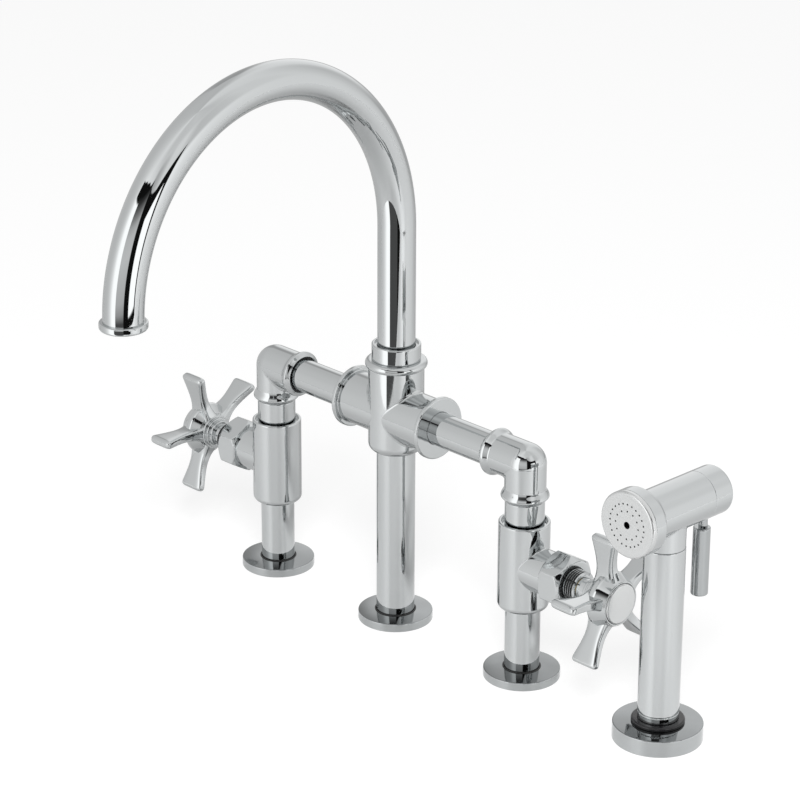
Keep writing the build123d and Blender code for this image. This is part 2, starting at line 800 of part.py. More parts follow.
def swivel_seal():
    """Ring on the connector's nose."""
    inner = connector_nose_radius + slip_fit / 2
    height = collar_bottom() + connector_collar + swivel_seal_section + 1.0
    return round_ring(inner + swivel_seal_section, swivel_seal_section, height)


def spray_head():
    """Level barrel on a short neck, with a flared nose, a threaded spigot below and the valve's seat."""
    barrel = turned((0, -nose_back), (head_radius, -nose_back), (head_radius, head_split), (0, head_split))
    face_back = nose_front - face_thickness
    nose = turned((0, -face_back), (nose_radius, -face_back), (nose_radius, -nose_back),
                  (head_radius - 1.0, nose_shoulder - nose_back), (0, nose_shoulder - nose_back),
                  radii=[0, 0, 2.6, 0, 0])
    solid = Pos(0, 0, head_height) * rearwards(barrel + nose)
    solid += rod(wand_radius - 0.15, wand_top + slip_fit, head_height)
    solid += rod(wand_radius - wand_wall - slip_fit, wand_top - neck_spigot_length, wand_top + slip_fit)
    chamber = rod(face_spigot_radius + slip_fit, -face_back - 1, nose_chamber_depth - face_back)
    chamber += rod(valve_seat_bore, -face_back, -valve_seat + 1)
    chamber += rod(valve_bore, -valve_seat, head_split + 1)
    chamber += rod(cap_spigot_radius + slip_fit, head_split - cap_spigot_length - slip_fit, head_split + 1)
    solid -= Pos(0, 0, head_height) * rearwards(chamber)
    solid -= rod(neck_waterway, wand_top - neck_spigot_length - 1, head_height)
    return solid


def spray_face():
    """Nose plate with two rings of fine holes round one jet, and a spigot that screws into the head."""
    back = face_thickness - nose_front
    solid = turned((0, -nose_front), (nose_radius, -nose_front), (nose_radius, back), (0, back),
                   radii=[0, face_edge, 0.25, 0])
    solid += tube(face_spigot_radius, face_spigot_radius - face_spigot_wall, back, back + face_spigot_length)
    for count, radius in zip(ring_holes, ring_radii):
        hole = Pos(radius, 0, 0) * rod(spray_hole_radius, -nose_front - 1, back + 1)
        for i in range(count):
            solid -= Rot(0, 0, 360 * i / count) * hole
    solid -= rod(centre_jet_radius, -nose_front - 1, back + 1)
    return Pos(0, 0, head_height) * rearwards(solid)


def pivot_place():
    """Where the lever's pin lies, as (behind the wand's axis, height)."""
    return lever_place + lever_neck_shift, head_height - lever_pivot_drop


def spray_rear_cap():
    """Closed rear end of the head: a threaded spigot, the lever's slot and its pin's hole."""
    solid = turned((0, head_split), (head_radius, head_split), (head_radius, head_rear), (0, head_rear),
                   radii=[0, 0.25, head_edge, 0])
    solid += rod(cap_spigot_radius, head_split - cap_spigot_length, head_split)
    solid -= rod(valve_bore, head_split - cap_spigot_length - 1, head_rear - cap_wall)
    solid = Pos(0, 0, head_height) * rearwards(solid)
    place, height = pivot_place()
    swing_room = (height - lever_shoulder()) * math.sin(math.radians(lever_travel))
    half_width = lever_blade_width / 2 + free_gap
    half_depth = max(lever_blade_depth / 2 + swing_room, lever_neck_radius) + free_gap
    solid -= box_between((-half_width, place - half_depth, height - lever_pivot_drop),
                         (half_width, place + half_depth, head_height - 1))
    pin_hole = rod(lever_pin_radius + running_fit, -head_radius, lever_pin_end() + slip_fit)
    return solid - Pos(0, place, height) * outwards(pin_hole)


def lever_shoulder():
    """Top of the lever's round neck, just below the head."""
    return head_height - head_radius - 0.7


def lever_pin_end():
    """How far the pin reaches to the +X side, inside the cap's wall."""
    return lever_pin_length - pin_half_chord()


def pin_half_chord():
    """Half the head's width at the pin's height."""
    return math.sqrt(head_radius ** 2 - lever_pivot_drop ** 2) - 0.6


def spray_lever():
    """Round hanging lever with a thin neck, a blade on the pin and a finger that moves the plunger."""
    place, height = pivot_place()
    solid = Pos(0, lever_place, 0) * turned((0, lever_bottom), (lever_radius, lever_bottom),
                                            (lever_radius, lever_top), (0, lever_top),
                                            radii=[0, lever_edge, lever_edge, 0])
    solid += Pos(0, place, 0) * rod(lever_neck_radius, lever_top - 2, lever_shoulder())
    half_width, half_depth = lever_blade_width / 2, lever_blade_depth / 2
    blade_top = height + lever_pin_radius + 1.4
    solid += box_between((-half_width, place - half_depth, lever_shoulder() - 1),
                         (half_width, place + half_depth, blade_top))
    solid += Pos(0, place, 0) * rod(lever_finger_radius, blade_top - 1, finger_top())
    return solid - Pos(0, place, height) * outwards(rod(lever_pin_radius + slip_fit / 2, -half_width - 1,
                                                        half_width + 1))


def finger_top():
    return head_height - plunger_waist_radius - free_gap


def lever_pin():
    place, height = pivot_place()
    return Pos(0, place, height) * outwards(rod(lever_pin_radius, -pin_half_chord(), lever_pin_end()))


def plunger_collar_back():
    """Rear face of the plunger's rear collar, which the spring pushes on."""
    return pivot_place()[0] + lever_finger_radius + lever_play + plunger_collar_thickness


def spray_plunger():
    """Valve disc on a rod, with two collars behind it that the lever's finger stands between."""
    start = -valve_seat + free_gap / 2
    rear = plunger_collar_back()
    place = pivot_place()[0]
    waist = (place - lever_finger_radius - lever_play, place + lever_finger_radius + lever_play)
    solid = turned((0, start), (plunger_disc_radius, start), (plunger_disc_radius, start + plunger_disc_thickness),
                   (plunger_rod_radius, start + plunger_disc_thickness),
                   (plunger_rod_radius, waist[0] - plunger_collar_thickness),
                   (plunger_collar_radius, waist[0] - plunger_collar_thickness), (plunger_collar_radius, waist[0]),
                   (plunger_waist_radius, waist[0]), (plunger_waist_radius, waist[1]),
                   (plunger_collar_radius, waist[1]), (plunger_collar_radius, rear), (plunger_tail_radius, rear),
                   (plunger_tail_radius, rear + plunger_tail_length), (0, rear + plunger_tail_length))
    return Pos(0, 0, head_height) * rearwards(solid)


def spray_spring():
    radius = plunger_tail_radius + free_gap + spray_wire + 0.3
    low = plunger_collar_back() + 0.05
    high = head_rear - cap_wall - 0.05
    return Pos(0, 0, head_height) * rearwards(coil(radius, spray_wire, low, high, spray_coils))


# ---- assembly -------------------------------------------------------------------------------
def at_side(part, side):
    """Puts a valve piece at its column: the cold side at +X, the hot side turned round at -X."""
    if side == "cold":
        return Pos(column_offset, 0, 0) * part
    return Pos(-column_offset, 0, 0) * Rot(0, 0, 180) * part


def on_handle_axis(part, side):
    return at_side(Pos(0, 0, handle_height) * part, side)


def valve_side(side):
    """All pieces of one valve column, by node name."""
    first_arm = cold_handle_angle if side == "cold" else -hot_handle_angle
    pieces = {
        "deck_flange": at_side(deck_flange(side_column_radius), side),
        "lower_column": at_side(lower_column(), side),
        "valve_body": at_side(valve_body(), side),
        "riser": at_side(riser(), side),
        "elbow": at_side(elbow(), side),
        "bonnet_nut": on_handle_axis(bonnet_nut(), side),
        "gland_collar": on_handle_axis(gland_collar(), side),
        "cartridge_body": on_handle_axis(cartridge_body(), side),
        "cartridge_seal": on_handle_axis(cartridge_seal(), side),
        "fixed_disc": on_handle_axis(fixed_disc(), side),
        "turning_disc": on_handle_axis(turning_disc(), side),
        "valve_stem": on_handle_axis(valve_stem(), side),
        "cross_handle": on_handle_axis(cross_handle(first_arm), side),
        "index_button": on_handle_axis(index_button(), side),
        "handle_screw": on_handle_axis(handle_screw(), side),
    }
    return {f"{side}_{name}": piece for name, piece in pieces.items()}


def bridge_tube(side):
    low = arm_reach - bridge_socket + slip_fit
    high = column_offset - elbow_mouth + bridge_socket - slip_fit
    direction = 1 if side == "cold" else -1
    span = sorted((direction * low, direction * high))
    return Pos(0, 0, bridge_height) * outwards(tube(bridge_tube_radius, bridge_tube_bore, *span))


def bridge_seals():
    mouth = column_offset - elbow_mouth
    return Compound([bridge_seal(-mouth, -1), bridge_seal(-arm_reach, 1), bridge_seal(arm_reach, -1),
                     bridge_seal(mouth, 1)])


def foot_seals():
    rings = [at_side(foot_seal(side_column_radius), side) for side in ("hot", "cold")]
    return Compound(rings + [foot_seal(centre_column_radius)])


def centre():
    return {
        "centre_flange": deck_flange(centre_column_radius),
        "centre_column": centre_column(),
        "foot_seals": foot_seals(),
        "cross_body": cross_body(),
        "hot_bridge_tube": bridge_tube("hot"),
        "cold_bridge_tube": bridge_tube("cold"),
        "bridge_seals": bridge_seals(),
        "spout_bush": spout_bush(),
        "spout_nut": spout_nut(),
        "diverter_seat": diverter_seat(),
        "diverter_piston": diverter_piston(),
        "diverter_spring": diverter_spring(),
        "spout_tube": spout_tube(),
        "spout_tip_ring": spout_tip_ring(),
        "aerator_body": aerator_body(),
        "aerator_screen": aerator_screen(),
        "spout_orings": Compound(spout_orings()),
        "spout_clip": spout_clip(),
    }


def sprayer():
    pieces = {
        "spray_deck_flange": spray_deck_flange(),
        "spray_guide_bush": spray_guide_bush(),
        "hose_connector": hose_connector(),
        "swivel_seal": swivel_seal(),
        "wand_tube": wand_tube(),
        "spray_head": spray_head(),
        "spray_face": spray_face(),
        "spray_rear_cap": spray_rear_cap(),
        "spray_spring": spray_spring(),
        "spray_plunger": spray_plunger(),
        "spray_lever": spray_lever(),
        "lever_pin": lever_pin(),
    }
    return {name: Pos(sprayer_offset, 0, 0) * piece for name, piece in pieces.items()}


def main():
    os.makedirs("parts", exist_ok=True)
    nodes = {**centre(), **valve_side("hot"), **valve_side("cold"), **sprayer()}
    for name, piece in nodes.items():
        export_step(piece, f"parts/{name}.step")


main()
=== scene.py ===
"""Looks of a chrome bridge kitchen faucet with a side sprayer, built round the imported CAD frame.

Shapes are worked out in millimetres and put into the meshes in metres. X runs along the bridge from the
hot valve to the cold one, -Y is towards the user and Z is up.
"""

import json
import math

import bmesh
import bpy
import numpy as np
from bpy.props import FloatProperty, FloatVectorProperty, PointerProperty
from mathutils import Matrix, Vector


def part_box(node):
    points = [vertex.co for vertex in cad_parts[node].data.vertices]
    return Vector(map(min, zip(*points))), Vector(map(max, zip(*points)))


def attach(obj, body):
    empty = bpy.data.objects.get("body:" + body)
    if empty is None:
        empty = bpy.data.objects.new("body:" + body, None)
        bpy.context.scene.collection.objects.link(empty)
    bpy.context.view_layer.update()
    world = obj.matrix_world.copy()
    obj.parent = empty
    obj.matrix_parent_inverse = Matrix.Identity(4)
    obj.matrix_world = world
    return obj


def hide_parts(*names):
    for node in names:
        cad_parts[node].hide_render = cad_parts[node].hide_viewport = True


bl_info = {
    "name": "Bridge faucet",
    "version": (1, 0, 0),
    "blender": (4, 5, 0),
    "location": "View3D > Sidebar > Faucet",
    "description": "Builds the looks of a bridge kitchen faucet round its CAD frame",
    "category": "Object",
}

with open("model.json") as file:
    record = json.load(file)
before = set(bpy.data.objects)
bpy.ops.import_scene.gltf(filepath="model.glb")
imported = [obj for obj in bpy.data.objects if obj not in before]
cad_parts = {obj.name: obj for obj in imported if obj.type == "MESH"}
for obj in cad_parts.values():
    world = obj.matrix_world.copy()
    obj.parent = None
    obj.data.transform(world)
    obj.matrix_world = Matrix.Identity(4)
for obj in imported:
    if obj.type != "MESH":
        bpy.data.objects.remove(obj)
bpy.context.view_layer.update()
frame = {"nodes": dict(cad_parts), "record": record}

MM = 0.001
SHARP = 0.07              # rounding of an edge that reads as sharp
HOLD = 0.3                # rows this far from each rounding keep the flats flat
SIDES = ("hot", "cold")
FLANGE_DROP = 0.55        # fall of a flange's top from its hole to its rim
BUSH_RIM = 1.4            # how far the guide bush's rim lies over its flange
ROOM_LIGHT = 0.35         # share of the light that comes from all round
INNER_ROW = 1.7           # how far into the metal a fillet is closed, in fillets


def span(node):
    """Lowest and highest corner of a CAD node, in millimetres."""
    low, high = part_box(node)
    return np.array(low) * 1000.0, np.array(high) * 1000.0


def middle_of(node, axis):
    """Middle of a CAD node along an axis."""
    return float(sum(corner[axis] for corner in span(node))) / 2


def radius_of(node, axis=0):
    """Half of a round node's size along an axis."""
    low, high = span(node)
    return float(high[axis] - low[axis]) / 2


def ends_of(node):
    """Nearest and furthest end of a valve's piece along the handle's axis, from its column's axis."""
    low, high = span(node)
    return sorted(abs(float(end)) - COLUMN_X for end in (low[0], high[0]))


def size(name):
    """A size of the panel, in millimetres."""
    return getattr(bpy.context.scene.faucet_sizes, name) / MM


COLUMN_X = middle_of("cold_deck_flange", 0)
WAND_X = middle_of("spray_deck_flange", 0)
HANDLE_Z = middle_of("cold_index_button", 2)
BRIDGE_Z = middle_of("cold_bridge_tube", 2)
HEAD_Z = middle_of("spray_face", 2)
COLUMN_RADIUS = radius_of("cold_lower_column")
CENTRE_RADIUS = radius_of("centre_column")
TUBE_RADIUS = radius_of("cold_bridge_tube", 1)
RISER_RADIUS = radius_of("cold_riser")
HEAD_RADIUS = radius_of("spray_rear_cap")
WAND_RADIUS = radius_of("wand_tube")
SPOUT_TIP = sum(span("spout_tip_ring")) / 2
SLOTS = {entry["node"]: entry["material_slot"] for entry in frame["record"]["subparts"]}


# ---- surfaces ---------------------------------------------------------------------------------
def rounded(corners, radii=0.0, closed=True, steps=7):
    """Profile with rounded corners: each corner becomes an arc tangent to both of its edges.

    The arc's centre lies on the corner's bisector at radius / sin(half angle) from it. One more row stands
    a little before and after each arc, so that smooth shading doesn't bend the flats.
    """
    corners = np.asarray(corners, float)
    count = len(corners)
    radii = np.broadcast_to(np.asarray(radii, float), (count,))
    rows = []
    for i in range(count):
        here = corners[i]
        if not closed and i in (0, count - 1):
            rows.append(here[None])
            continue
        back, ahead = corners[i - 1] - here, corners[(i + 1) % count] - here
        back_run, ahead_run = np.linalg.norm(back), np.linalg.norm(ahead)
        back, ahead = back / back_run, ahead / ahead_run
        half = 0.5 * math.acos(float(np.clip(back @ ahead, -1, 1)))
        reach = min(max(radii[i], SHARP) / math.tan(half), 0.45 * back_run, 0.45 * ahead_run)
        radius = reach * math.tan(half)
        middle = back + ahead
        centre = here + middle / np.linalg.norm(middle) * radius / math.sin(half)
        turn = math.pi - 2 * half
        share = np.linspace(0, 1, (steps if radii[i] > 0.3 else 2) + 1)[:, None]
        start, end = here + back * reach, here + ahead * reach
        arc = centre + (np.sin((1 - share) * turn) * (start - centre)
                        + np.sin(share * turn) * (end - centre)) / math.sin(turn)
        rows.append((start + back * min(HOLD, 0.04 * back_run))[None])
        rows.append(arc)
        rows.append((end + ahead * min(HOLD, 0.04 * ahead_run))[None])
    return np.vstack(rows)


def skin(points, around=True, along=False):
    """Quads over a grid of points. around and along join the last column or row to the first."""
    rows, columns = points.shape[:2]
    index = np.arange(rows * columns).reshape(rows, columns)
    if around:
        index = np.hstack([index, index[:, :1]])
    if along:
        index = np.vstack([index, index[:1]])
    quads = np.stack([index[:-1, :-1], index[:-1, 1:], index[1:, 1:], index[1:, :-1]], -1)
    return points.reshape(-1, 3), quads.reshape(-1, 4)


def lathe(profile, closed=True, segments=144):
    """Surface of revolution about Z: (radius, height) becomes (radius cos a, radius sin a, height)."""
    angle = np.linspace(0, 2 * math.pi, segments, endpoint=False)
    radius, height = profile[:, :1], profile[:, 1:]
    grid = np.stack([radius * np.cos(angle), radius * np.sin(angle), height + 0 * angle], -1)
    return skin(grid, along=closed)


def turned(corners, radii=0.0, segments=144):
    """A turned piece from its corners. A profile that starts on the axis ends there and stays open."""
    closed = corners[0][0] != 0
    return lathe(rounded(corners, radii, closed), closed, segments)


def ring(radius, across, height, along=None):
    """Ring of oval section about Z: half width across, half height along, its middle at the radius given."""
    along = across if along is None else along
    angle = np.linspace(0, 2 * math.pi, 28, endpoint=False)
    return lathe(np.stack([radius + across * np.cos(angle), height + along * np.sin(angle)], -1))


def bead(radius, height, middle, below, above):
    """Band round a tube about Z: it stands out by height (1 + cos) / 2, over its own run on each side."""
    share = np.linspace(-1, 1, 41)
    place = middle + np.where(share < 0, below, above) * share
    bump = height * (0.5 + 0.5 * np.cos(math.pi * share)) ** 0.8
    inside = np.array([(radius - 0.6, middle + above), (radius - 0.6, middle - below)])
    return lathe(np.vstack([np.stack([radius + bump, place], -1), inside]))


def crease(upright, level, fillet, across=9, count=192):
    """Rolled fillet where a cylinder along +X of radius level leaves a cylinder about Z of radius upright.

    A ball of the fillet's radius touches both cylinders, so its centre is at upright + fillet from Z and
    level + fillet from X. The surface is the arc of the ball between its two points of contact, closed by
    a row inside the metal.
    """
    angle = np.linspace(0, 2 * math.pi, count, endpoint=False)
    y, z = (level + fillet) * np.cos(angle), (level + fillet) * np.sin(angle)
    x = np.sqrt(np.maximum((upright + fillet) ** 2 - y ** 2, 0))
    to_upright = np.stack([-x, -y, 0 * z], -1) / (upright + fillet)
    to_level = np.stack([0 * x, -np.cos(angle), -np.sin(angle)], -1)
    return ball_strip(np.stack([x, y, z], -1), to_upright, to_level, fillet, across, around=True)


def inner_crease(radius, fillet, across=9, count=81):
    """The same fillet on the inside of a square bend of two equal cylinders, one down -Z and one along -X."""
    y = (radius + fillet) * np.sin(np.linspace(-math.pi / 2, math.pi / 2, count))
    q = np.sqrt(np.maximum((radius + fillet) ** 2 - y ** 2, 0))
    to_upright = np.stack([q, -y, 0 * y], -1) / (radius + fillet)
    to_level = np.stack([0 * y, -y, q], -1) / (radius + fillet)
    return ball_strip(np.stack([-q, y, -q], -1), to_upright, to_level, fillet, across, around=False)


def ball_strip(centre, first, last, fillet, across, around):
    """Arc of a ball from its first to its last direction at each centre: unit(mix of the two) * fillet."""
    share = np.linspace(0, 1, across)[:, None, None]
    way = (1 - share) * first + share * last
    way /= np.linalg.norm(way, axis=-1, keepdims=True)
    rows = centre + fillet * way
    inside = centre + INNER_ROW * fillet * way[across // 2]
    return skin(np.concatenate([rows, inside[None]]), around=around, along=True)


def swept(path, tangent, normal, outer, inner, segments=144):
    """Tube along a path in one plane: outer wall there, inner wall back, joined at both ends.

    A point of a ring is centre + radius (cos a * normal + sin a * side), where side = tangent x normal.
    """
    angle = np.linspace(0, 2 * math.pi, segments, endpoint=False)[None, :, None]
    side = np.cross(tangent, normal)
    across = np.cos(angle) * normal[:, None] + np.sin(angle) * side[:, None]
    rows = [path[:, None] + outer * across, (path[:, None] + inner * across)[::-1]]
    return skin(np.concatenate(rows), along=True)


def block(centre, half, power=6.0, rows=24, columns=48):
    """Box with soft edges: a superellipsoid, sign(c)|c|^(2/power) in place of each cosine and sine."""
    def soft(value):
        return np.sign(value) * np.abs(value) ** (2 / power)
    up = np.linspace(-math.pi / 2, math.pi / 2, rows)[:, None]
    angle = np.linspace(0, 2 * math.pi, columns, endpoint=False)[None]
    grid = np.stack([soft(np.cos(up)) * soft(np.cos(angle)), soft(np.cos(up)) * soft(np.sin(angle)),
                     soft(np.sin(up)) + 0 * angle], -1)
    return skin(np.asarray(centre) + grid * np.asarray(half))


def along_x(part):
    """Lays what was made about Z along X: (x, y, z) becomes (z, y, -x)."""
    points, quads = part
    return points[:, [2, 1, 0]] * [1, 1, -1], quads


def along_y(part):
    """Lays what was made about Z along Y: (x, y, z) becomes (x, z, -y)."""
    points, quads = part
    return points[:, [0, 2, 1]] * [1, 1, -1], quads


def move(part, x=0.0, y=0.0, z=0.0):
    """Moves a piece. Like the turns below, it takes and gives points and faces."""
    return part[0] + [x, y, z], part[1]


def turn_x(part, degrees):
    c, s = math.cos(math.radians(degrees)), math.sin(math.radians(degrees))
    return part[0] @ np.array([[1, 0, 0], [0, c, s], [0, -s, c]]), part[1]


def turn_z(part, degrees):
    c, s = math.cos(math.radians(degrees)), math.sin(math.radians(degrees))
    return part[0] @ np.array([[c, s, 0], [-s, c, 0], [0, 0, 1]]), part[1]


def at_side(parts, side):
    """Moves pieces made round their own column, with the handle along +X, to the cold or the hot side."""
    if side == "cold":
        return [move(part, COLUMN_X) for part in parts]
    return [move(turn_z(part, 180), -COLUMN_X) for part in parts]


def outward(points, quads):
    """Turns the faces over if the volume they close, the sum of their corner triple products, is negative."""
    a, b, c, d = (points[quads[:, i]] for i in range(4))
    volume = np.einsum("ij,ij", a, np.cross(b, c)) + np.einsum("ij,ij", a, np.cross(c, d))
    return quads if volume > 0 else quads[:, ::-1]


def show(node, parts, body="faucet", look="bright chrome", inset=(), inset_look=None):
    """Puts closed surfaces into one object that rides on a body and stands for a CAD node.

    The surfaces in inset get a finish of their own.
    """
    parts = [*parts, *inset]
    points = np.vstack([part[0] for part in parts]) * MM
    starts = np.cumsum([0] + [len(part[0]) for part in parts])
    faces = np.vstack([outward(*part) + start for part, start in zip(parts, starts)])
    mesh = bpy.data.meshes.new(f"{node}_shown")
    mesh.from_pydata(points.tolist(), [], faces.tolist())
    plain = len(faces) - sum(len(part[1]) for part in inset)
    mesh.polygons.foreach_set("material_index", (np.arange(len(faces)) >= plain).astype(np.int32))
    work = bmesh.new()
    work.from_mesh(mesh)
    bmesh.ops.remove_doubles(work, verts=work.verts, dist=1e-6)
    work.to_mesh(mesh)
    work.free()
    mesh.polygons.foreach_set("use_smooth", np.ones(len(mesh.polygons), bool))
    mesh.materials.append(finish(look))
    if inset:
        mesh.materials.append(finish(inset_look))
    obj = bpy.data.objects.new(mesh.name, mesh)
    bpy.context.scene.collection.objects.link(obj)
    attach(obj, body)
    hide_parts(node)


# ---- finishes ---------------------------------------------------------------------------------
# A colour is a setting's name or the colour itself. Roughness runs between two values in patches of the
# mottle scale, and so does the colour where a tint is given. Wave, grain and mottle are noise scales.
PLAIN = dict(metallic=1.0, mottle=40.0, wave=35.0, grain=900.0, grain_share=0.1, bump=0.02, distance=0.0005,
             specular=0.5, tint=None, rim=None)
FINISHES = {
    "bright chrome": dict(colour="chrome", roughness=(0.025, 0.05), bump=0.012, wave=26.0, grain_share=0.02),
    # a polished casting is a little wavier than drawn tube
    "cast chrome": dict(colour="chrome", roughness=(0.03, 0.07), bump=0.03, wave=45.0, grain_share=0.03),
    # darker and hazier on top, with a paler rim: a darker copy of the chrome, painted shade on the tops that
    # face up and lighter painted shade on the rims
    "flange chrome": dict(colour="flange", roughness=(0.05, 0.1), mottle=24.0, wave=30.0, grain_share=0.03,
                          tint=0.62, rim="rim"),
    # a darker copy of the chrome: painted shade for the darker reflections the lever shows
    "lever chrome": dict(colour="lever", roughness=(0.03, 0.06), mottle=60.0, bump=0.015, wave=40.0,
                         grain_share=0.03),
    # fine satin metal of the index buttons and the spray face
    "pearl chrome": dict(colour="pearl", roughness=(0.2, 0.27), mottle=70.0, grain=2600.0, grain_share=0.4,
                         distance=0.0001),
    "black rubber": dict(colour="rubber", metallic=0.0, roughness=(0.35, 0.5), mottle=120.0, bump=0.15,
                         grain=3000.0, grain_share=0.8, distance=0.0002, specular=0.4),
    "black nylon": dict(colour="nylon", metallic=0.0, roughness=(0.16, 0.28), mottle=80.0, bump=0.08,
                        grain=2000.0, grain_share=0.5, distance=0.0002),
    "white nylon": dict(colour=(0.8, 0.8, 0.77), metallic=0.0, roughness=(0.35, 0.45), mottle=80.0, bump=0.08,
                        grain=2000.0, grain_share=0.5, distance=0.0002, tint=(0.74, 0.74, 0.7)),
    "turned brass": dict(colour=(0.76, 0.58, 0.28), roughness=(0.18, 0.32), mottle=60.0, bump=0.1,
                         grain=1800.0, grain_share=0.6, distance=0.0002, tint=(0.66, 0.47, 0.2)),
    "stainless steel": dict(colour=(0.6, 0.6, 0.61), roughness=(0.2, 0.34), mottle=90.0, bump=0.1,
                            grain=2200.0, grain_share=0.6, distance=0.0002),
    "ground ceramic": dict(colour=(0.86, 0.86, 0.84), metallic=0.0, roughness=(0.12, 0.2), mottle=90.0,
                           bump=0.04, grain=2600.0, grain_share=0.5, distance=0.0001, tint=(0.8, 0.8, 0.79)),
}


def add_node(tree, kind, **values):
    """New shader node. Each value goes to the input of its name, with spaces for the underscores."""
    node = tree.nodes.new(f"ShaderNode{kind}")
    for label, value in values.items():
        node.inputs[label.replace("_", " ")].default_value = value
    return node


def node_group(name, inputs, output):
    """New node group of float sockets, with its two ends and the Object coordinates inside it."""
    group = bpy.data.node_groups.new(name, "ShaderNodeTree")
    for label, value in inputs.items():
        group.interface.new_socket(label, in_out="INPUT", socket_type="NodeSocketFloat").default_value = value
    group.interface.new_socket(output, in_out="OUTPUT", socket_type="NodeSocketFloat")
    ends = group.nodes.new("NodeGroupInput").outputs, group.nodes.new("NodeGroupOutput").inputs
    return (group, *ends, add_node(group, "TexCoord").outputs["Object"])


def mottle_group():
    """Soft patches between two values, as polish haze leaves: noise ramped from Low to High."""
    if "Mottle" in bpy.data.node_groups:
        return bpy.data.node_groups["Mottle"]
    group, given, result, place = node_group("Mottle", {"Scale": 40.0, "Low": 0.03, "High": 0.08}, "Value")
    noise = add_node(group, "TexNoise", Detail=4.0)
    spread = add_node(group, "MapRange", From_Min=0.35, From_Max=0.7)
    for output, socket in ((place, noise.inputs["Vector"]), (given["Scale"], noise.inputs["Scale"]),
                           (noise.outputs["Fac"], spread.inputs["Value"]),
                           (given["Low"], spread.inputs["To Min"]), (given["High"], spread.inputs["To Max"]),
                           (spread.outputs["Result"], result["Value"])):
        group.links.new(output, socket)
    return group


def ripple_group():
    """Height of a buffed surface: a broad slow wave plus a fine grain."""
    if "Ripple" in bpy.data.node_groups:
        return bpy.data.node_groups["Ripple"]
    group, given, result, place = node_group(
        "Ripple", {"Wave scale": 35.0, "Grain scale": 900.0, "Grain share": 0.1}, "Height")
    wave, grain = add_node(group, "TexNoise", Detail=1.0), add_node(group, "TexNoise", Detail=2.0)
    weigh = add_node(group, "Math")
    weigh.operation = "MULTIPLY_ADD"
    link = group.links.new
    for noise, label in ((wave, "Wave scale"), (grain, "Grain scale")):
        link(place, noise.inputs["Vector"])
        link(given[label], noise.inputs["Scale"])
    weighed = (grain.outputs["Fac"], given["Grain share"], wave.outputs["Fac"])
    for output, socket in zip(weighed, weigh.inputs):
        link(output, socket)
    link(weigh.outputs[0], result["Height"])
    return group


def group_node(tree, group, **values):
    """Places a node group with its values and gives its output."""
    node = tree.nodes.new("ShaderNodeGroup")
    node.node_tree = group
    for label, value in values.items():
        node.inputs[label.replace("_", " ")].default_value = value
    return node.outputs[0]


def colour_mix(tree, factor, first, second):
    """Mix of two colours, the second one a colour or a socket."""
    mix = tree.nodes.new("ShaderNodeMix")
    mix.data_type = "RGBA"
    mix.inputs["A"].default_value = (*first, 1.0)
    if isinstance(second, bpy.types.NodeSocket):
        tree.links.new(second, mix.inputs["B"])
    else:
        mix.inputs["B"].default_value = (*second, 1.0)
    tree.links.new(factor, mix.inputs["Factor"])
    return mix.outputs["Result"]


def finish(name):
    """Material with patchy roughness and a rippled surface, from its row in FINISHES."""
    if name in bpy.data.materials:
        return bpy.data.materials[name]
    look = {**PLAIN, **FINISHES[name]}
    chosen = bpy.context.scene.faucet_finish
    colour = tuple(getattr(chosen, look["colour"])) if isinstance(look["colour"], str) else look["colour"]
    material = bpy.data.materials.new(name)
    material.use_nodes = True
    tree = material.node_tree
    link, shader = tree.links.new, tree.nodes["Principled BSDF"].inputs
    shader["Base Color"].default_value = (*colour, 1.0)
    shader["Metallic"].default_value = look["metallic"]
    shader["Specular IOR Level"].default_value = look["specular"]
    low, high = look["roughness"]
    link(group_node(tree, mottle_group(), Scale=look["mottle"], Low=low, High=high), shader["Roughness"])
    relief = add_node(tree, "Bump", Strength=look["bump"], Distance=look["distance"])
    link(group_node(tree, ripple_group(), Wave_scale=look["wave"], Grain_scale=look["grain"],
                    Grain_share=look["grain_share"]), relief.inputs["Height"])
    link(relief.outputs["Normal"], shader["Normal"])
    tint = look["tint"]
    if tint:
        tint = tint if isinstance(tint, tuple) else tuple(tint * value for value in colour)
        blotch = group_node(tree, mottle_group(), Scale=look["mottle"] * 0.6, Low=0.0, High=1.0)
        link(colour_mix(tree, blotch, colour, tint), shader["Base Color"])
    # Painted light by facing: faces that point up keep the darker top colour, and the sides get the paler rim
    # colour.
    if look["rim"]:
        split = add_node(tree, "SeparateXYZ")
        link(add_node(tree, "NewGeometry").outputs["Normal"], split.inputs[0])
        top = Level(tree, split.outputs["Z"]).rising(0.6, 0.2).socket
        under = shader["Base Color"].links[0].from_socket
        link(colour_mix(tree, top, getattr(chosen, look["rim"]), under), shader["Base Color"])
    return material


# ---- pieces -----------------------------------------------------------------------------------
def flange(node, bore, edge):
    """Cover plate: its top falls by the square of the share of the way from its hole to its rounded rim."""
    low, high = span(node)
    radius, top = (high[0] - low[0]) / 2, high[2]
    out = np.linspace(radius, bore, 12)
    crown = top - FLANGE_DROP * ((out - bore) / (radius - bore)) ** 2
    corners = [(bore, 0), (radius, 0), *zip(out, crown)]
    return move(turned(corners, [0, 0.1, edge, *[0] * 10, 0.25], 192), (high[0] + low[0]) / 2)


def tube(radius, wall, low, high, edge=0.25):
    """Straight tube about Z."""
    return turned([(radius - wall, low), (radius, low), (radius, high), (radius - wall, high)],
                  [0, edge, edge, 0])


class FAUCET_OT_flanges(bpy.types.Operator):
    """Build the four round deck flanges"""
    bl_idname = "faucet.flanges"
    bl_label = "Deck flanges"

    def execute(self, context):
        edge, gap = size("flange_edge"), 0.12
        for node, bore, rim in (("hot_deck_flange", COLUMN_RADIUS + gap, edge),
                                ("cold_deck_flange", COLUMN_RADIUS + gap, edge),
                                ("centre_flange", CENTRE_RADIUS + gap, edge),
                                ("spray_deck_flange", radius_of("spray_guide_bush") - BUSH_RIM, 2 * edge)):
            show(node, [flange(node, bore, rim)], look="flange chrome")
        return {"FINISHED"}


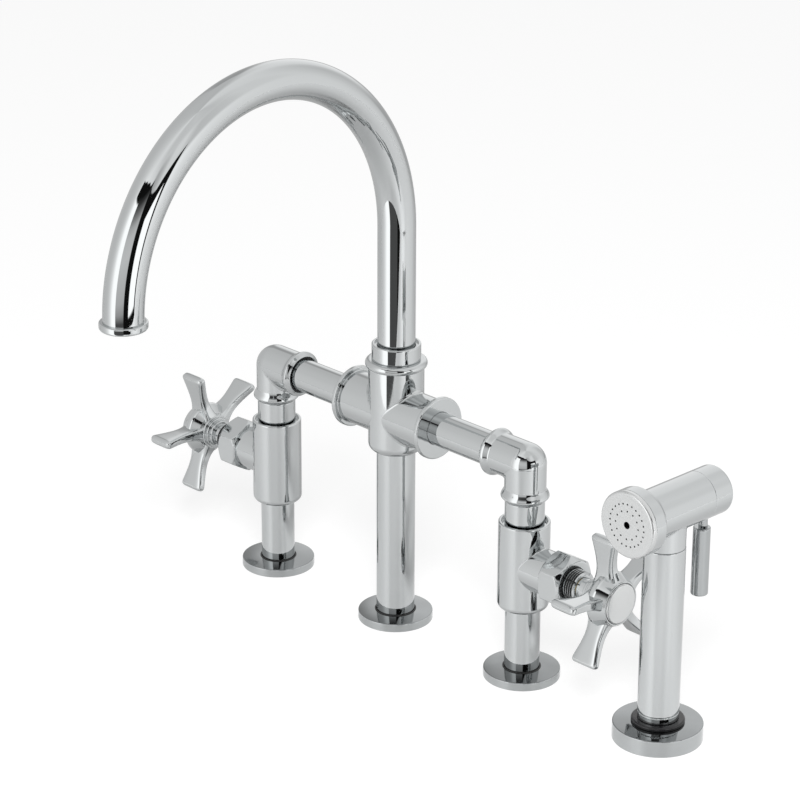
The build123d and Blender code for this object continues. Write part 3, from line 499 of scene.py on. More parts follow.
class FAUCET_OT_columns(bpy.types.Operator):
    """Build the columns, the risers and the bridge tubes"""
    bl_idname = "faucet.columns"
    bl_label = "Columns and tubes"

    def execute(self, context):
        wall, centre_wall = size("tube_wall"), 3.0
        for side in SIDES:
            for node in (f"{side}_lower_column", f"{side}_riser"):
                low, high = span(node)
                show(node, at_side([tube(radius_of(node), wall, low[2], high[2])], side))
            node = f"{side}_bridge_tube"
            low, high = span(node)
            show(node, [move(along_x(tube(TUBE_RADIUS, wall, low[0], high[0])), z=BRIDGE_Z)])
        low, high = span("centre_column")
        show("centre_column", [tube(CENTRE_RADIUS, centre_wall, low[2], high[2])])
        return {"FINISHED"}


class FAUCET_OT_valve_bodies(bpy.types.Operator):
    """Build the two valve bodies: an upright barrel and a side stub joined by a rolled fillet"""
    bl_idname = "faucet.valve_bodies"
    bl_label = "Valve bodies"

    def execute(self, context):
        recess, recess_depth, foot_edge, top_edge = RISER_RADIUS + 1.7, 2.2, 3.2, 1.1
        stub_radius = size("stub_radius")
        for side in SIDES:
            node = f"{side}_valve_body"
            low, high = span(node)
            radius, reach = radius_of(node, 1), ends_of(node)[1]
            bottom, top = low[2], high[2]
            floor = top - recess_depth
            barrel = turned([(0, bottom), (radius, bottom), (radius, top), (recess, top), (recess, floor),
                             (0, floor)], [0, foot_edge, top_edge, 0.35, 0.3, 0], 192)
            stub = turned([(0, 0), (stub_radius, 0), (stub_radius, reach), (0, reach)], [0, 0, 0.4, 0], 192)
            parts = [barrel, move(along_x(stub), z=HANDLE_Z),
                     move(crease(radius, stub_radius, size("stub_fillet")), z=HANDLE_Z)]
            show(node, at_side(parts, side), look="cast chrome")
        return {"FINISHED"}


class FAUCET_OT_elbows(bpy.types.Operator):
    """Build the two square elbows with a ball corner and a bead at each end"""
    bl_idname = "faucet.elbows"
    bl_label = "Elbows"

    def execute(self, context):
        radius, width = size("elbow_radius"), size("bead_width")
        mouth_lip, mouth_depth = 0.35, 3.5
        bead_place, outer_run, inner_run = 0.36 * width, 0.33 * width, 0.6 * width
        up = np.linspace(-math.pi / 2, math.pi / 2, 81)
        ball = lathe(radius * np.stack([np.cos(up), np.sin(up)], -1), False, 160)
        for side in SIDES:
            node = f"{side}_elbow"
            rim, mouth = radius_of(node, 1), -ends_of(node)[0]
            foot = float(span(f"{side}_riser")[1][2])
            recess, floor = radius - mouth_lip, mouth - mouth_depth
            upright = turned([(0, foot), (radius, foot), (radius, BRIDGE_Z), (0, BRIDGE_Z)],
                             [0, 0.3, 0, 0], 160)
            level = turned([(0, -floor), (recess, -floor), (recess, -mouth), (radius, -mouth), (radius, 0),
                            (0, 0)], [0, 0.2, 0.2, 0.35, 0, 0], 160)
            # a bead's middle stands nearer to the open end, and falls more slowly towards the corner
            beads = [bead(radius, rim - radius, end + bead_place, outer_run, inner_run)
                     for end in (foot, -mouth)]
            raised = [along_x(level), ball, inner_crease(radius, size("elbow_fillet")), along_x(beads[1])]
            show(node, at_side([upright, beads[0], *(move(part, z=BRIDGE_Z) for part in raised)], side),
                 look="cast chrome")
        return {"FINISHED"}


class FAUCET_OT_centre_body(bpy.types.Operator):
    """Build the centre body: crossing barrels with rolled fillets, a bead on top and a disc at each end"""
    bl_idname = "faucet.centre_body"
    bl_label = "Centre body"

    def execute(self, context):
        low, high = span("cross_body")
        bottom, top, reach = low[2], high[2], high[0]
        disc, disc_width, foot_edge = radius_of("cross_body", 1), 2.8, 5.0
        nut_overlap, nut_recess, bead_half, bead_root, bead_short = 0.9, 2.0, 2.4, 0.5, 0.3
        barrel, arm = size("barrel_radius"), size("arm_radius")
        hole = radius_of("spout_nut") - nut_overlap
        upright = turned([(0, bottom), (barrel, bottom), (barrel, top), (hole, top), (hole, top - nut_recess),
                          (0, top - nut_recess)], [0, foot_edge, 0.8, 0.2, 0.1, 0], 192)
        parts = [upright, ring(barrel - bead_root, disc - bead_short - barrel + bead_root, top - bead_half,
                               bead_half)]
        recess, floor = TUBE_RADIUS + 0.1, reach - 3.5
        joint = crease(barrel, arm, size("cast_fillet"))
        for sign in (-1, 1):
            corners = [(0, 0), (arm, 0), (arm, reach - disc_width), (disc, reach - disc_width), (disc, reach),
                       (recess, reach), (recess, floor), (0, floor)]
            level = turned([(r, sign * x) for r, x in corners], [0, 0, 0.5, 0.8, 0.8, 0.15, 0, 0], 192)
            parts += [move(along_x(level), z=BRIDGE_Z),
                      move(joint if sign > 0 else turn_z(joint, 180), z=BRIDGE_Z)]
        show("cross_body", parts, look="cast chrome")
        return {"FINISHED"}


class FAUCET_OT_spout(bpy.types.Operator):
    """Build the spout's nut, its bent tube and the ring at its tip"""
    bl_idname = "faucet.spout"
    bl_label = "Spout"

    def execute(self, context):
        radius, wall = size("spout_radius"), 1.75
        reach = float(np.hypot(SPOUT_TIP[0], SPOUT_TIP[1]))
        way = math.degrees(math.atan2(SPOUT_TIP[1], SPOUT_TIP[0]))
        low, high = span("spout_tube")
        bend_height = float(high[2]) - reach / 2 - radius
        bottom, top = (corner[2] for corner in span("spout_tip_ring"))
        tube_end, seat, gap = float(bottom) + 1.0, bottom + 1.05, 0.02
        path = spout_path(low[2], bend_height, tube_end, reach)
        show("spout_tube", [turn_z(swept(*path, radius, radius - wall), way)], "spout")
        rim, bore = radius_of("spout_tip_ring"), radius - wall + 0.2
        tip = turned([(bore, bottom), (rim, bottom), (rim, top), (radius + gap, top), (radius + gap, seat),
                      (bore, seat)], [0.3, 1.7, 1.7, 0, 0, 0])
        show("spout_tip_ring", [move(tip, SPOUT_TIP[0], SPOUT_TIP[1])], "spout")
        base, top = float(span("cross_body")[1][2]), span("spout_nut")[1][2]
        outer, bore, thread, foot, step = radius_of("spout_nut"), radius + 0.3, 1.05, 4, 1.2
        nut = turned([(bore, base - foot), (outer - thread, base - foot), (outer - thread, base),
                      (outer, base), (outer, top), (bore + 1.4, top), (bore + 1.4, top - step),
                      (bore, top - step)],
                     [0, 0, 0, 0.3, 0.9, 0.25, 0, 0], 192)
        show("spout_nut", [nut])
        return {"FINISHED"}


def spout_path(foot, bend_height, end, reach):
    """Middle line of the spout in the XZ plane: up, round a half circle of radius reach / 2, and down.

    Gives its points, their tangents and the directions out of the bend.
    """
    turn = np.linspace(math.pi, 0, 140)
    up = np.array([[0, 0, foot], [0, 0, foot + 0.4], [0, 0, bend_height - 0.6]])
    bend = np.stack([reach / 2 * (1 + np.cos(turn)), 0 * turn, bend_height + reach / 2 * np.sin(turn)], -1)
    down = np.array([[reach, 0, end + 0.4], [reach, 0, end]])
    out = np.vstack([np.tile([-1.0, 0, 0], (3, 1)), np.stack([np.cos(turn), 0 * turn, np.sin(turn)], -1),
                     np.tile([1.0, 0, 0], (2, 1))])
    return np.vstack([up, bend, down]), np.cross(np.array([0, 1.0, 0]), out), out


class FAUCET_OT_bonnets(bpy.types.Operator):
    """Build the hexagon bonnet nuts and the ribbed gland collars"""
    bl_idname = "faucet.bonnets"
    bl_label = "Bonnet nuts and glands"

    def execute(self, context):
        gland_bore = 4.4
        for side in SIDES:
            node = f"{side}_bonnet_nut"
            start, end = ends_of(f"{side}_valve_body")[1], ends_of(node)[1]
            nut = hexagon_nut(start, end, radius_of(node, 1), size("nut_chamfer"))
            show(node, at_side([move(along_x(nut), z=HANDLE_Z)], side), look="cast chrome")
            node = f"{side}_gland_collar"
            parts = gland(radius_of(node, 1), *ends_of(node), gland_bore)
            # The black rings in the grooves are painted shade; they take the black rubber finish.
            collar, *groove_shade_rings = at_side([move(along_x(part), z=HANDLE_Z) for part in parts], side)
            show(node, [collar], look="cast chrome", inset=groove_shade_rings, inset_look="black rubber")
        return {"FINISHED"}


def hexagon_nut(start, end, corner, chamfer):
    """Hexagon along Z cut by a cone at each end.

    At angle a the hexagon's radius is flat / cos(a - nearest flat's angle), and the cone's is its corner
    radius less the distance past the chamfer's start. The softer of the two wins: a smooth minimum,
    (hex^-p + cone^-p)^(-1/p), rounds the edges between them.
    """
    flat, power, bore = corner * math.cos(math.pi / 6), 90.0, 5.0
    length = end - start
    turn = np.linspace(0, 2 * math.pi, 384, endpoint=False)
    bend = (turn + math.pi / 6) % (math.pi / 3) - math.pi / 6
    facets = np.stack([flat / np.maximum(np.cos(bend + shift), 0.2)
                       for shift in (-math.pi / 3, 0, math.pi / 3)])
    hexagon = ((facets ** -power).sum(0)) ** (-1 / power)
    height = np.concatenate([np.linspace(0, 2.2 * chamfer, 22),
                             np.linspace(2.4 * chamfer, length - 3.2 * chamfer, 6),
                             np.linspace(length - 3.0 * chamfer, length, 30)])
    cone_in = corner - chamfer + height
    cone_out = flat - chamfer / 2 + (length - height) * 0.95
    limit = np.minimum(cone_in, cone_out)[:, None]
    radius = (hexagon[None] ** -power + limit ** -power) ** (-1 / power)
    back, front = ([r + 0 * turn for r in radii] for radii in
                   ((bore, flat - chamfer - 1), (flat - chamfer / 2 - 0.8, bore)))
    radius = np.vstack([*back, radius, *front])
    height = start + np.concatenate([[0, 0], height, [length, length]])[:, None]
    grid = np.stack([radius * np.cos(turn), radius * np.sin(turn), height + 0 * radius], -1)
    return turn_z(skin(grid, along=True), 30)


def gland(radius, start, end, bore):
    """Collar with a black ring in each of its grooves, painted shade that darkens them: narrow ribs |cos|^p
    stand between the grooves.
    """
    grooves, depth, power, shade_ring_share = 4, 1.1, 9, 0.43
    share = np.linspace(0, 1, 121)
    ribbed = radius - depth * (1 - np.abs(np.cos(math.pi * grooves * share)) ** power)
    outer = np.stack([ribbed, start + share * (end - start)], -1)
    collar = lathe(np.vstack([outer, [(bore, end), (bore, start)]]), segments=160)
    pitch = (end - start) / grooves
    return [collar, *(ring(radius - depth, depth - 0.1, start + (i + 0.5) * pitch, shade_ring_share * pitch)
                      for i in range(grooves))]


class FAUCET_OT_cross_handles(bpy.types.Operator):
    """Build the five-armed cross handles and their index buttons"""
    bl_idname = "faucet.cross_handles"
    bl_label = "Cross handles"

    def execute(self, context):
        sizes, arms, plane = context.scene.faucet_sizes, 5, size("arm_plane")
        arm = move(handle_arm(size("arm_length")), plane)
        for side, first_arm in (("cold", sizes.cold_arm_turn), ("hot", -sizes.hot_arm_turn)):
            node = f"{side}_cross_handle"
            parts = [along_x(lathe(hub_profile(ends_of(node)[0], plane), False, 192))]
            parts += [turn_x(arm, math.degrees(first_arm) + 360 / arms * i) for i in range(arms)]
            show(node, at_side([move(part, z=HANDLE_Z) for part in parts], side), f"{side}_handle",
                 "cast chrome")
            node = f"{side}_index_button"
            button = dished_button(radius_of(node, 1), *ends_of(node))
            show(node, at_side([move(along_x(button), z=HANDLE_Z)], side), f"{side}_handle", "pearl chrome")
        return {"FINISHED"}


def hub_profile(start, plane):
    """Neck, three steps, a rounded hub and the recess for the button, from the axis out and back to it."""
    neck_radius, place = 6.2, start + 6.0
    corners = [(0, start), (neck_radius, start), (neck_radius, place)]
    radii = [0, 0.4, 0.2]
    for radius, length in ((8.0, 2.4), (9.2, 1.8), (10.4, 2.6)):
        corners += [(radius, place), (radius, place + length)]
        radii += [0.5, 0.2]
        place += length
    back, hub, front, recess, face, floor = 11.6, 16.0, 12.6, 11.7, 72.0, 70.4
    corners += [(back, place), (hub, plane - 1.6), (hub, plane + 1.6), (front, face), (recess, face),
                (recess, floor), (0, floor)]
    return rounded(corners, radii + [0.6, 2.4, 4.0, 0.5, 0.2, 0.1, 0], closed=False)


def handle_arm(length):
    """Paddle along +Z: rounded-box sections whose width and thickness follow smooth curves of the distance.

    A section is (w/2 sign(cos) |cos|^(2/n), t/2 sign(sin) |sin|^(2/n)). It flares where it leaves the hub and
    closes in a quarter ellipse at the tip.
    """
    root, tip_round, power = 9.0, 2.4, 4.4
    place = np.concatenate([np.linspace(root, length - tip_round, 60),
                            length - tip_round + tip_round * np.sin(np.linspace(0.08, math.pi / 2, 14))])
    known = [root, 14.0, 17.0, 21.0, 26.0, 31.0, 35.0, length]
    width = smooth(place, known, [17.0, 13.6, 12.2, 11.6, 12.6, 14.7, 16.6, 17.6])
    thick = smooth(place, known, [10.5, 7.6, 6.7, 6.1, 5.8, 5.6, 5.5, 5.4])
    closing = np.sqrt(np.clip(1 - np.clip((place - length + tip_round) / tip_round, 0, 1) ** 2, 0, 1))
    width = width - 2 * tip_round * (1 - closing)
    thick = thick - 2 * min(tip_round, 2.0) * (1 - closing)
    turn = np.linspace(0, 2 * math.pi, 72, endpoint=False)
    across, along = (np.sign(wave) * np.abs(wave) ** (2 / power) for wave in (np.cos(turn), np.sin(turn)))
    grid = np.stack([width[:, None] / 2 * across, thick[:, None] / 2 * along, place[:, None] + 0 * turn], -1)
    ends = [np.tile(grid[i].mean(0), (len(turn), 1))[None] for i in (0, -1)]
    return skin(np.concatenate([ends[0], grid, ends[1]]))


def smooth(place, known, values):
    """Curve through known values whose slope at each is the mean of its neighbours' slopes (cubic pieces)."""
    known, values = np.asarray(known, float), np.asarray(values, float)
    slope = np.gradient(values, known)
    index = np.clip(np.searchsorted(known, place) - 1, 0, len(known) - 2)
    run = known[index + 1] - known[index]
    t = np.clip((place - known[index]) / run, 0, 1)
    return ((2 * t ** 3 - 3 * t ** 2 + 1) * values[index] + (t ** 3 - 2 * t ** 2 + t) * run * slope[index]
            + (3 * t ** 2 - 2 * t ** 3) * values[index + 1] + (t ** 3 - t ** 2) * run * slope[index + 1])


def dished_button(radius, back, face):
    """Plain button: a shallow dome that falls by the square of the distance from the axis, and a soft rim."""
    dome, rim_width, rim_drop = 0.35, 0.9, 0.8
    out = np.linspace(0, radius - rim_width, 14)
    front = np.stack([out, face - dome * (out / radius) ** 2], -1)
    turn = np.linspace(0, math.pi / 2, 8)[1:]
    rim = np.stack([radius - rim_width * (1 - np.sin(turn)),
                    front[-1, 1] - rim_drop * (1 - np.cos(turn))], -1)
    return lathe(np.vstack([front, rim, [(radius, back), (radius - 0.1, back), (0, back)]]), False, 160)


class FAUCET_OT_spray_wand(bpy.types.Operator):
    """Build the sprayer's bush, tube, head and lever"""
    bl_idname = "faucet.spray_wand"
    bl_label = "Side sprayer"

    def execute(self, context):
        low, high = span("spray_guide_bush")
        flange_top = float(span("spray_deck_flange")[1][2])
        outer, bore = radius_of("spray_guide_bush"), 10.9
        sleeve = outer - BUSH_RIM
        bush = turned([(bore, low[2]), (sleeve, low[2]), (sleeve, flange_top), (outer, flange_top),
                       (outer, high[2]), (bore, high[2])], [0, 0, 0, 0.5, 1.1, 0.3], 160)
        show("spray_guide_bush", [move(bush, WAND_X)], look="black nylon")
        foot = float(high[2]) + 0.3
        low, high = span("wand_tube")
        radius, spigot, spigot_bore, bore, floor = WAND_RADIUS, 10.6, 8.8, WAND_RADIUS - 1.7, foot + 6
        cuff, groove, groove_floor = radius - 0.15, foot + 3.6, radius - 0.6
        wand = turned([(spigot_bore, low[2]), (spigot, low[2]), (spigot, foot), (cuff, foot),
                       (cuff, groove - 0.3), (groove_floor, groove), (radius, groove + 0.5),
                       (radius, high[2]), (bore, high[2]), (bore, floor), (spigot_bore, floor)],
                      [0, 0.6, 0, 0.6, 0.1, 0, 0.25, 0.2, 0, 0, 0], 160)
        show("wand_tube", [move(wand, WAND_X)], "spray_wand")
        self.head(float(high[2]))
        self.lever()
        return {"FINISHED"}

    def head(self, wand_top):
        """Level barrel with a flared nose and a hollow whose back is a black disc of painted shade, and a
        neck that meets it in a rolled fillet.
        """
        low, high = span("spray_head")
        nose, radius = radius_of("spray_head"), HEAD_RADIUS
        front, seam, depth, shade_disc_thickness = -float(low[1]), float(high[1]), 6.0, 1.5
        nose_end, flare_end = 7.6 - front, 12.2 - front
        hollow = radius_of("spray_face") - 2.8
        barrel = turned([(0, depth - front), (hollow, depth - front), (hollow, -front), (nose, -front),
                         (nose, nose_end), (radius, flare_end), (radius, seam), (0, seam)],
                        [0, 0, 0.2, 0.25, 2.8, 2.6, 0.25, 0], 192)
        inside, outside, fitted = depth - front - shade_disc_thickness, depth - front + 0.3, hollow - 0.05
        # A black disc across the back of the hollow is painted shade that makes the hollow dark; it takes the
        # black nylon finish.
        shade_disc = turned([(0, inside), (fitted, inside), (fitted, outside), (0, outside)], 0.2, 96)
        neck_radius, neck_foot, fillet = WAND_RADIUS - 0.15, wand_top + 0.1, 1.6
        neck = turned([(0, neck_foot), (neck_radius, neck_foot), (neck_radius, HEAD_Z), (0, HEAD_Z)],
                      [0, 0.3, 0, 0], 160)
        points, quads = crease(radius, neck_radius, fillet)
        joint = points[:, [1, 2, 0]] * [1, 1, -1], quads
        parts = [move(along_y(barrel), z=HEAD_Z), neck, move(joint, z=HEAD_Z)]
        show("spray_head", [move(part, WAND_X) for part in parts], "spray_wand",
             inset=[move(along_y(shade_disc), WAND_X, z=HEAD_Z)], inset_look="black nylon")

    def lever(self):
        """Round hanging lever, its thin neck and the blade on the pin."""
        low, high = span("spray_lever")
        place, bottom = float(low[1] + high[1]) / 2, low[2]
        radius, top, neck_radius, neck_height, shift = 4.75, HEAD_Z - 19.4, 2.5, 7.4, 0.8
        grip = turned([(0, bottom), (radius, bottom), (radius, top), (0, top)], [0, 0.8, 0.8, 0], 96)
        neck = turned([(0, top - 2), (neck_radius, top - 2), (neck_radius, top + neck_height),
                       (0, top + neck_height)], [0, 0, 0.3, 0], 64)
        blade = block((0, place + shift, (top + high[2]) / 2 + 1.6), (2.2, 1.6, (high[2] - top) / 2 - 3))
        show("spray_lever", [move(part, WAND_X) for part in (move(grip, y=place), move(neck, y=place + shift),
                                                             blade)], "spray_grip", "lever chrome")


class FAUCET_OT_seals(bpy.types.Operator):
    """Build the seal rings at the columns' feet"""
    bl_idname = "faucet.seals"
    bl_label = "Seals"

    def execute(self, context):
        section = size("seal_section")
        height = float(span("foot_seals")[1][2]) - section
        show("foot_seals", [move(ring(radius + section, section - 0.02, height), x) for radius, x in
                            ((COLUMN_RADIUS, -COLUMN_X), (CENTRE_RADIUS, 0), (COLUMN_RADIUS, COLUMN_X))],
             look="black rubber")
        return {"FINISHED"}


class FAUCET_OT_kept_nodes(bpy.types.Operator):
    """Give every CAD node that stays in view or inside its own finish"""
    bl_idname = "faucet.kept_nodes"
    bl_label = "Kept pieces"

    def execute(self, context):
        looks = {"chrome": "bright chrome", "satin": "pearl chrome", "rubber": "black rubber",
                 "black_nylon": "black nylon", "white_nylon": "white nylon", "brass": "turned brass",
                 "stainless": "stainless steel", "ceramic": "ground ceramic"}
        for name, obj in frame["nodes"].items():
            for place in obj.material_slots:
                place.material = finish("pearl chrome" if name == "spray_face" else looks[SLOTS[name]])
        return {"FINISHED"}


# ---- stage ------------------------------------------------------------------------------------
class Level:
    """A number that varies in a shader. Arithmetic with levels and plain numbers makes Math nodes."""

    def __init__(self, tree, socket):
        self.tree, self.socket = tree, socket

    def feed(self, sockets, values):
        for socket, value in zip(sockets, values):
            if isinstance(value, Level):
                self.tree.links.new(value.socket, socket)
            else:
                socket.default_value = value

    def maths(self, operation, *values):
        node = self.tree.nodes.new("ShaderNodeMath")
        node.operation = operation
        self.feed(node.inputs, values)
        return Level(self.tree, node.outputs[0])

    def __add__(self, other):
        return self.maths("ADD", self, other)

    def __sub__(self, other):
        return self.maths("SUBTRACT", self, other)

    def __rsub__(self, other):
        return self.maths("SUBTRACT", other, self)

    def __mul__(self, other):
        return self.maths("MULTIPLY", self, other)

    def rising(self, edge, soft):
        """0 before the edge and 1 after it, with a smooth step of width twice soft between them."""
        node = add_node(self.tree, "MapRange", From_Min=edge - soft, From_Max=edge + soft)
        node.interpolation_type = "SMOOTHSTEP"
        self.tree.links.new(self.socket, node.inputs["Value"])
        return Level(self.tree, node.outputs["Result"])

    def within(self, low, high, soft=0.5):
        return self.rising(low, soft) - self.rising(high, soft)

    def curve(self, points):
        """Straight runs between the points given."""
        first, last = points[0][0], points[-1][0]
        scale = max(level for _, level in points)
        ramp = self.tree.nodes.new("ShaderNodeValToRGB")
        self.tree.links.new(((self - first) * (1 / (last - first))).socket, ramp.inputs[0])
        elements = ramp.color_ramp.elements
        elements.remove(elements[1])
        for i, (place, level) in enumerate(points):
            place = (place - first) / (last - first)
            element = elements[0] if i == 0 else elements.new(place)
            element.position = place
            element.color = (level / scale, level / scale, level / scale, 1)
        return Level(self.tree, ramp.outputs["Color"]) * scale

    def covered(self, mask, level):
        """This level with another laid over it where the mask is 1."""
        mix = self.tree.nodes.new("ShaderNodeMix")
        mix.data_type = "FLOAT"
        self.feed((mix.inputs["Factor"], mix.inputs["A"], mix.inputs["B"]), (mask, self, level))
        return Level(self.tree, mix.outputs["Result"])


# What polished metal sees of the studio. Directions are compass degrees, -90 towards the user and 0 towards
# the cold side, and heights are degrees above the horizon. Each pair is (direction or height, level), but
# BEAM_TOP gives the dark beam's upper edge in each direction.
WALLS = ((-180, 0.68), (-160, 0.7), (-148, 0.73), (-142, 0.75), (-137, 0.79), (-132, 0.83), (-127, 0.9),
         (-122, 1.0), (-117, 1.1), (-112, 1.3), (-107, 1.48), (-102, 1.57), (-88, 1.57), (0, 1.29),
         (13, 1.27), (20, 1.21), (30, 1.1), (45, 0.99), (60, 0.94), (76, 0.8), (90, 0.7), (98, 0.74),
         (108, 0.97), (124, 1.07), (136, 1.03), (142, 0.67), (160, 0.63), (180, 0.68))
CEILING = ((-180, 0.71), (-156, 0.77), (-132, 0.85), (-110, 0.95), (-90, 1.03), (-72, 0.95), (-50, 0.81),
           (-24, 0.8), (0, 0.83), (25, 0.77), (45, 0.88), (60, 0.95), (116, 0.97), (126, 0.85), (140, 0.68),
           (160, 0.7), (180, 0.71))
OVER_DOOR = ((-45, 0.6), (-35, 0.57), (-27, 0.66), (-19, 0.8), (-13, 0.97), (0, 0.99), (7, 0.85), (13, 0.74),
             (24, 0.77), (32, 0.81), (40, 0.9), (60, 0.9))
GREY_WALL = ((-18, 0.09), (-14, 0.42), (-9, 0.6), (1, 0.68), (11, 0.76), (21, 0.7), (26, 0.56), (30, 0.33),
             (34, 0.17), (38, 0.05), (42, 0.008))
BEAM_TOP = ((-115, 46.5), (-108, 47.5), (-98, 48.5), (-88, 50.0), (-82, 48.9), (-67, 48.5), (-61, 47.4),
            (-57, 45.5), (-53, 44.3), (-49, 43.4), (-45, 41.0), (-41, 40.2), (-37, 37.5), (-33, 34.4),
            (-29, 32.3), (-25, 30.1), (-21, 28.7), (-15, 26.4), (12, 26.0))
BLACK, SHADE, CORNER_SHADE, LAMP_WHITE = 0.007, 0.5, 0.45, 1.6
ROOM_GAIN = 1.09          # lifts every level, so that chrome of its true reflectance shows them

# The table under the faucet as polished metal sees it: its level over X, painted light that is brighter
# towards the cold side, and its edges, in metres.
TABLE_PAINTED_LIGHT = ((-0.6, 0.66), (-0.4, 0.72), (-0.25, 0.78), (0.0, 0.75), (0.1, 0.78), (0.35, 0.93), (0.7, 0.96))
TABLE_FRONT, FRONT_SLOPE, TABLE_RIGHT, TABLE_END = -0.347, 0.09, 0.7, 1.1
MATT_SHARE, SHEEN_SHARE, SHEEN_ROUGHNESS = 0.84, 0.85, 0.4


def studio_room(tree):
    """Level of the room in each direction, as a stack of soft-edged patches over walls and a ceiling."""
    split = add_node(tree, "SeparateXYZ")
    tree.links.new(add_node(tree, "TexCoord").outputs["Generated"], split.inputs[0])
    x, y, z = (Level(tree, socket) for socket in split.outputs)
    turn, rise = y.maths("ARCTAN2", y, x) * (180 / math.pi), z.maths("ARCSINE", z) * (180 / math.pi)

    def patch(under, turns, rises, level, soft=0.5):
        return under.covered(turn.within(*turns, soft) * rise.within(*rises, soft), level)

    room = turn.curve(WALLS).covered(rise.rising(40, 24), turn.curve(CEILING))
    room = patch(room, (-46, 60), (18, 52), turn.curve(OVER_DOOR), 7)
    room = patch(room, (84, 155), (-75, 2), SHADE, 6)
    room = patch(room, (141, 156), (4, 38), CORNER_SHADE, 3)
    slant = turn + rise * 0.33
    past_post = slant.rising(14.7, 0.6) * turn.rising(12.5, 0.6)
    above = (rise - turn.curve(BEAM_TOP)).rising(0.0, 0.6)
    beam = turn.within(-113.5, 24) * rise.within(-33, 60) * (1.0 - past_post) * (1.0 - above)
    room = room.covered(beam, BLACK)
    room = patch(room, (-87, -40.2), (-60, 44), rise.curve(GREY_WALL), 1.2)
    room = patch(room, (-122, -84.4), (-60, 38.3), turn.curve(WALLS), 1.0)
    left_of_pane, right_of_pane = (turn + rise * 0.075).rising(-16.2, 0.8), slant.rising(9.2, 0.5)
    pane = rise.within(-17.0, 15.2) * left_of_pane * (1.0 - right_of_pane)
    return room.covered(pane, LAMP_WHITE) * ROOM_GAIN


def studio_world(scene):
    """White studio: part of the light comes from all round, metal sees the room and the camera sees white."""
    world = bpy.data.worlds.new("studio")
    world.use_nodes = True
    scene.world = world
    tree = world.node_tree
    camera, clear, glossy = (Level(tree, add_node(tree, "LightPath").outputs[f"Is {kind} Ray"])
                             for kind in ("Camera", "Transmission", "Glossy"))
    level = camera.maths("MAXIMUM", camera, clear) * (1 - ROOM_LIGHT) + ROOM_LIGHT
    background = tree.nodes["Background"]
    tree.links.new(level.covered(glossy, studio_room(tree)).socket, background.inputs["Strength"])
    background.inputs["Color"].default_value = (1, 1, 1, 1)


def key_light(scene):
    """Soft lamp to the right of the camera that gives the rest of the light.

    A lamp of power P at distance d lights a plane square to it as a world of strength P / (pi d)^2 would.
    """
    turn, rise, distance, aim = math.radians(-44), math.radians(43), 2.5, [0, 0, 0.1]
    way = np.array([math.cos(turn) * math.cos(rise), math.sin(turn) * math.cos(rise), math.sin(rise)])
    data = bpy.data.lights.new("key", "AREA")
    data.shape, data.size = "DISK", 1.0
    data.energy = (1 - ROOM_LIGHT) * (math.pi * distance) ** 2 / math.sin(rise)
    lamp = bpy.data.objects.new("key", data)
    lamp.location = way * distance + aim
    lamp.rotation_euler = Vector(way).to_track_quat("Z", "Y").to_euler()
    lamp.visible_glossy = False
    scene.collection.objects.link(lamp)


def floor_material():
    """White floor that keeps a faint shadow. Metal sees it as a pale table with a front and a right edge.

    The table is cut away behind the hot side. Its level is painted light, brighter towards the cold side,
    with painted shade at its right front corner and towards its back.
    """
    material = bpy.data.materials.new("floor")
    material.use_nodes = True
    tree = material.node_tree
    tree.nodes.clear()
    link = tree.links.new
    split = add_node(tree, "SeparateXYZ")
    link(add_node(tree, "TexCoord").outputs["Object"], split.inputs[0])
    x, y = (Level(tree, split.outputs[axis]) for axis in "XY")
    front = y - x * FRONT_SLOPE
    behind = y.rising(0.11, 0.04) * (1.0 - x.rising(-0.08, 0.05))
    away = x.maths("SQRT", x * x + y * y)
    on_table = (front.maths("GREATER_THAN", front, TABLE_FRONT) * x.maths("LESS_THAN", x, TABLE_RIGHT)
                * (1.0 - behind) * (1.0 - away.rising(TABLE_END, 0.4)))
    # Painted shade at the table's right front corner and towards its back, over the painted light along X.
    corner = x.rising(0.15, 0.07) * (1.0 - y.rising(-0.19, 0.08))
    table_light = x.curve(TABLE_PAINTED_LIGHT) * (1.0 - corner * 0.22) * (1.0 - y.rising(0.07, 0.09) * 0.15)
    slant = Level(tree, add_node(tree, "LayerWeight", Blend=0.5).outputs["Facing"])
    matt, sheen = add_node(tree, "BsdfDiffuse"), add_node(tree, "BsdfGlossy", Roughness=SHEEN_ROUGHNESS)
    link((table_light * MATT_SHARE).socket, matt.inputs["Color"])
    link((table_light * slant * SHEEN_SHARE).socket, sheen.inputs["Color"])

    def joined(kind, first, second, share=None):
        node = add_node(tree, kind)
        for shader, socket in zip((second, first), reversed(node.inputs)):
            link(shader.outputs[0], socket)
        if share:
            link(share, node.inputs[0])
        return node

    seen = joined("AddShader", add_node(tree, "BsdfDiffuse", Color=(0.25, 0.25, 0.25, 1)),
                  add_node(tree, "Emission", Color=(0.81, 0.81, 0.81, 1)))
    table = joined("MixShader", add_node(tree, "BsdfTransparent"), joined("AddShader", matt, sheen),
                   on_table.socket)
    glossy = add_node(tree, "LightPath").outputs["Is Glossy Ray"]
    surface = joined("MixShader", seen, table, glossy)
    link(surface.outputs[0], add_node(tree, "OutputMaterial").inputs["Surface"])
    return material


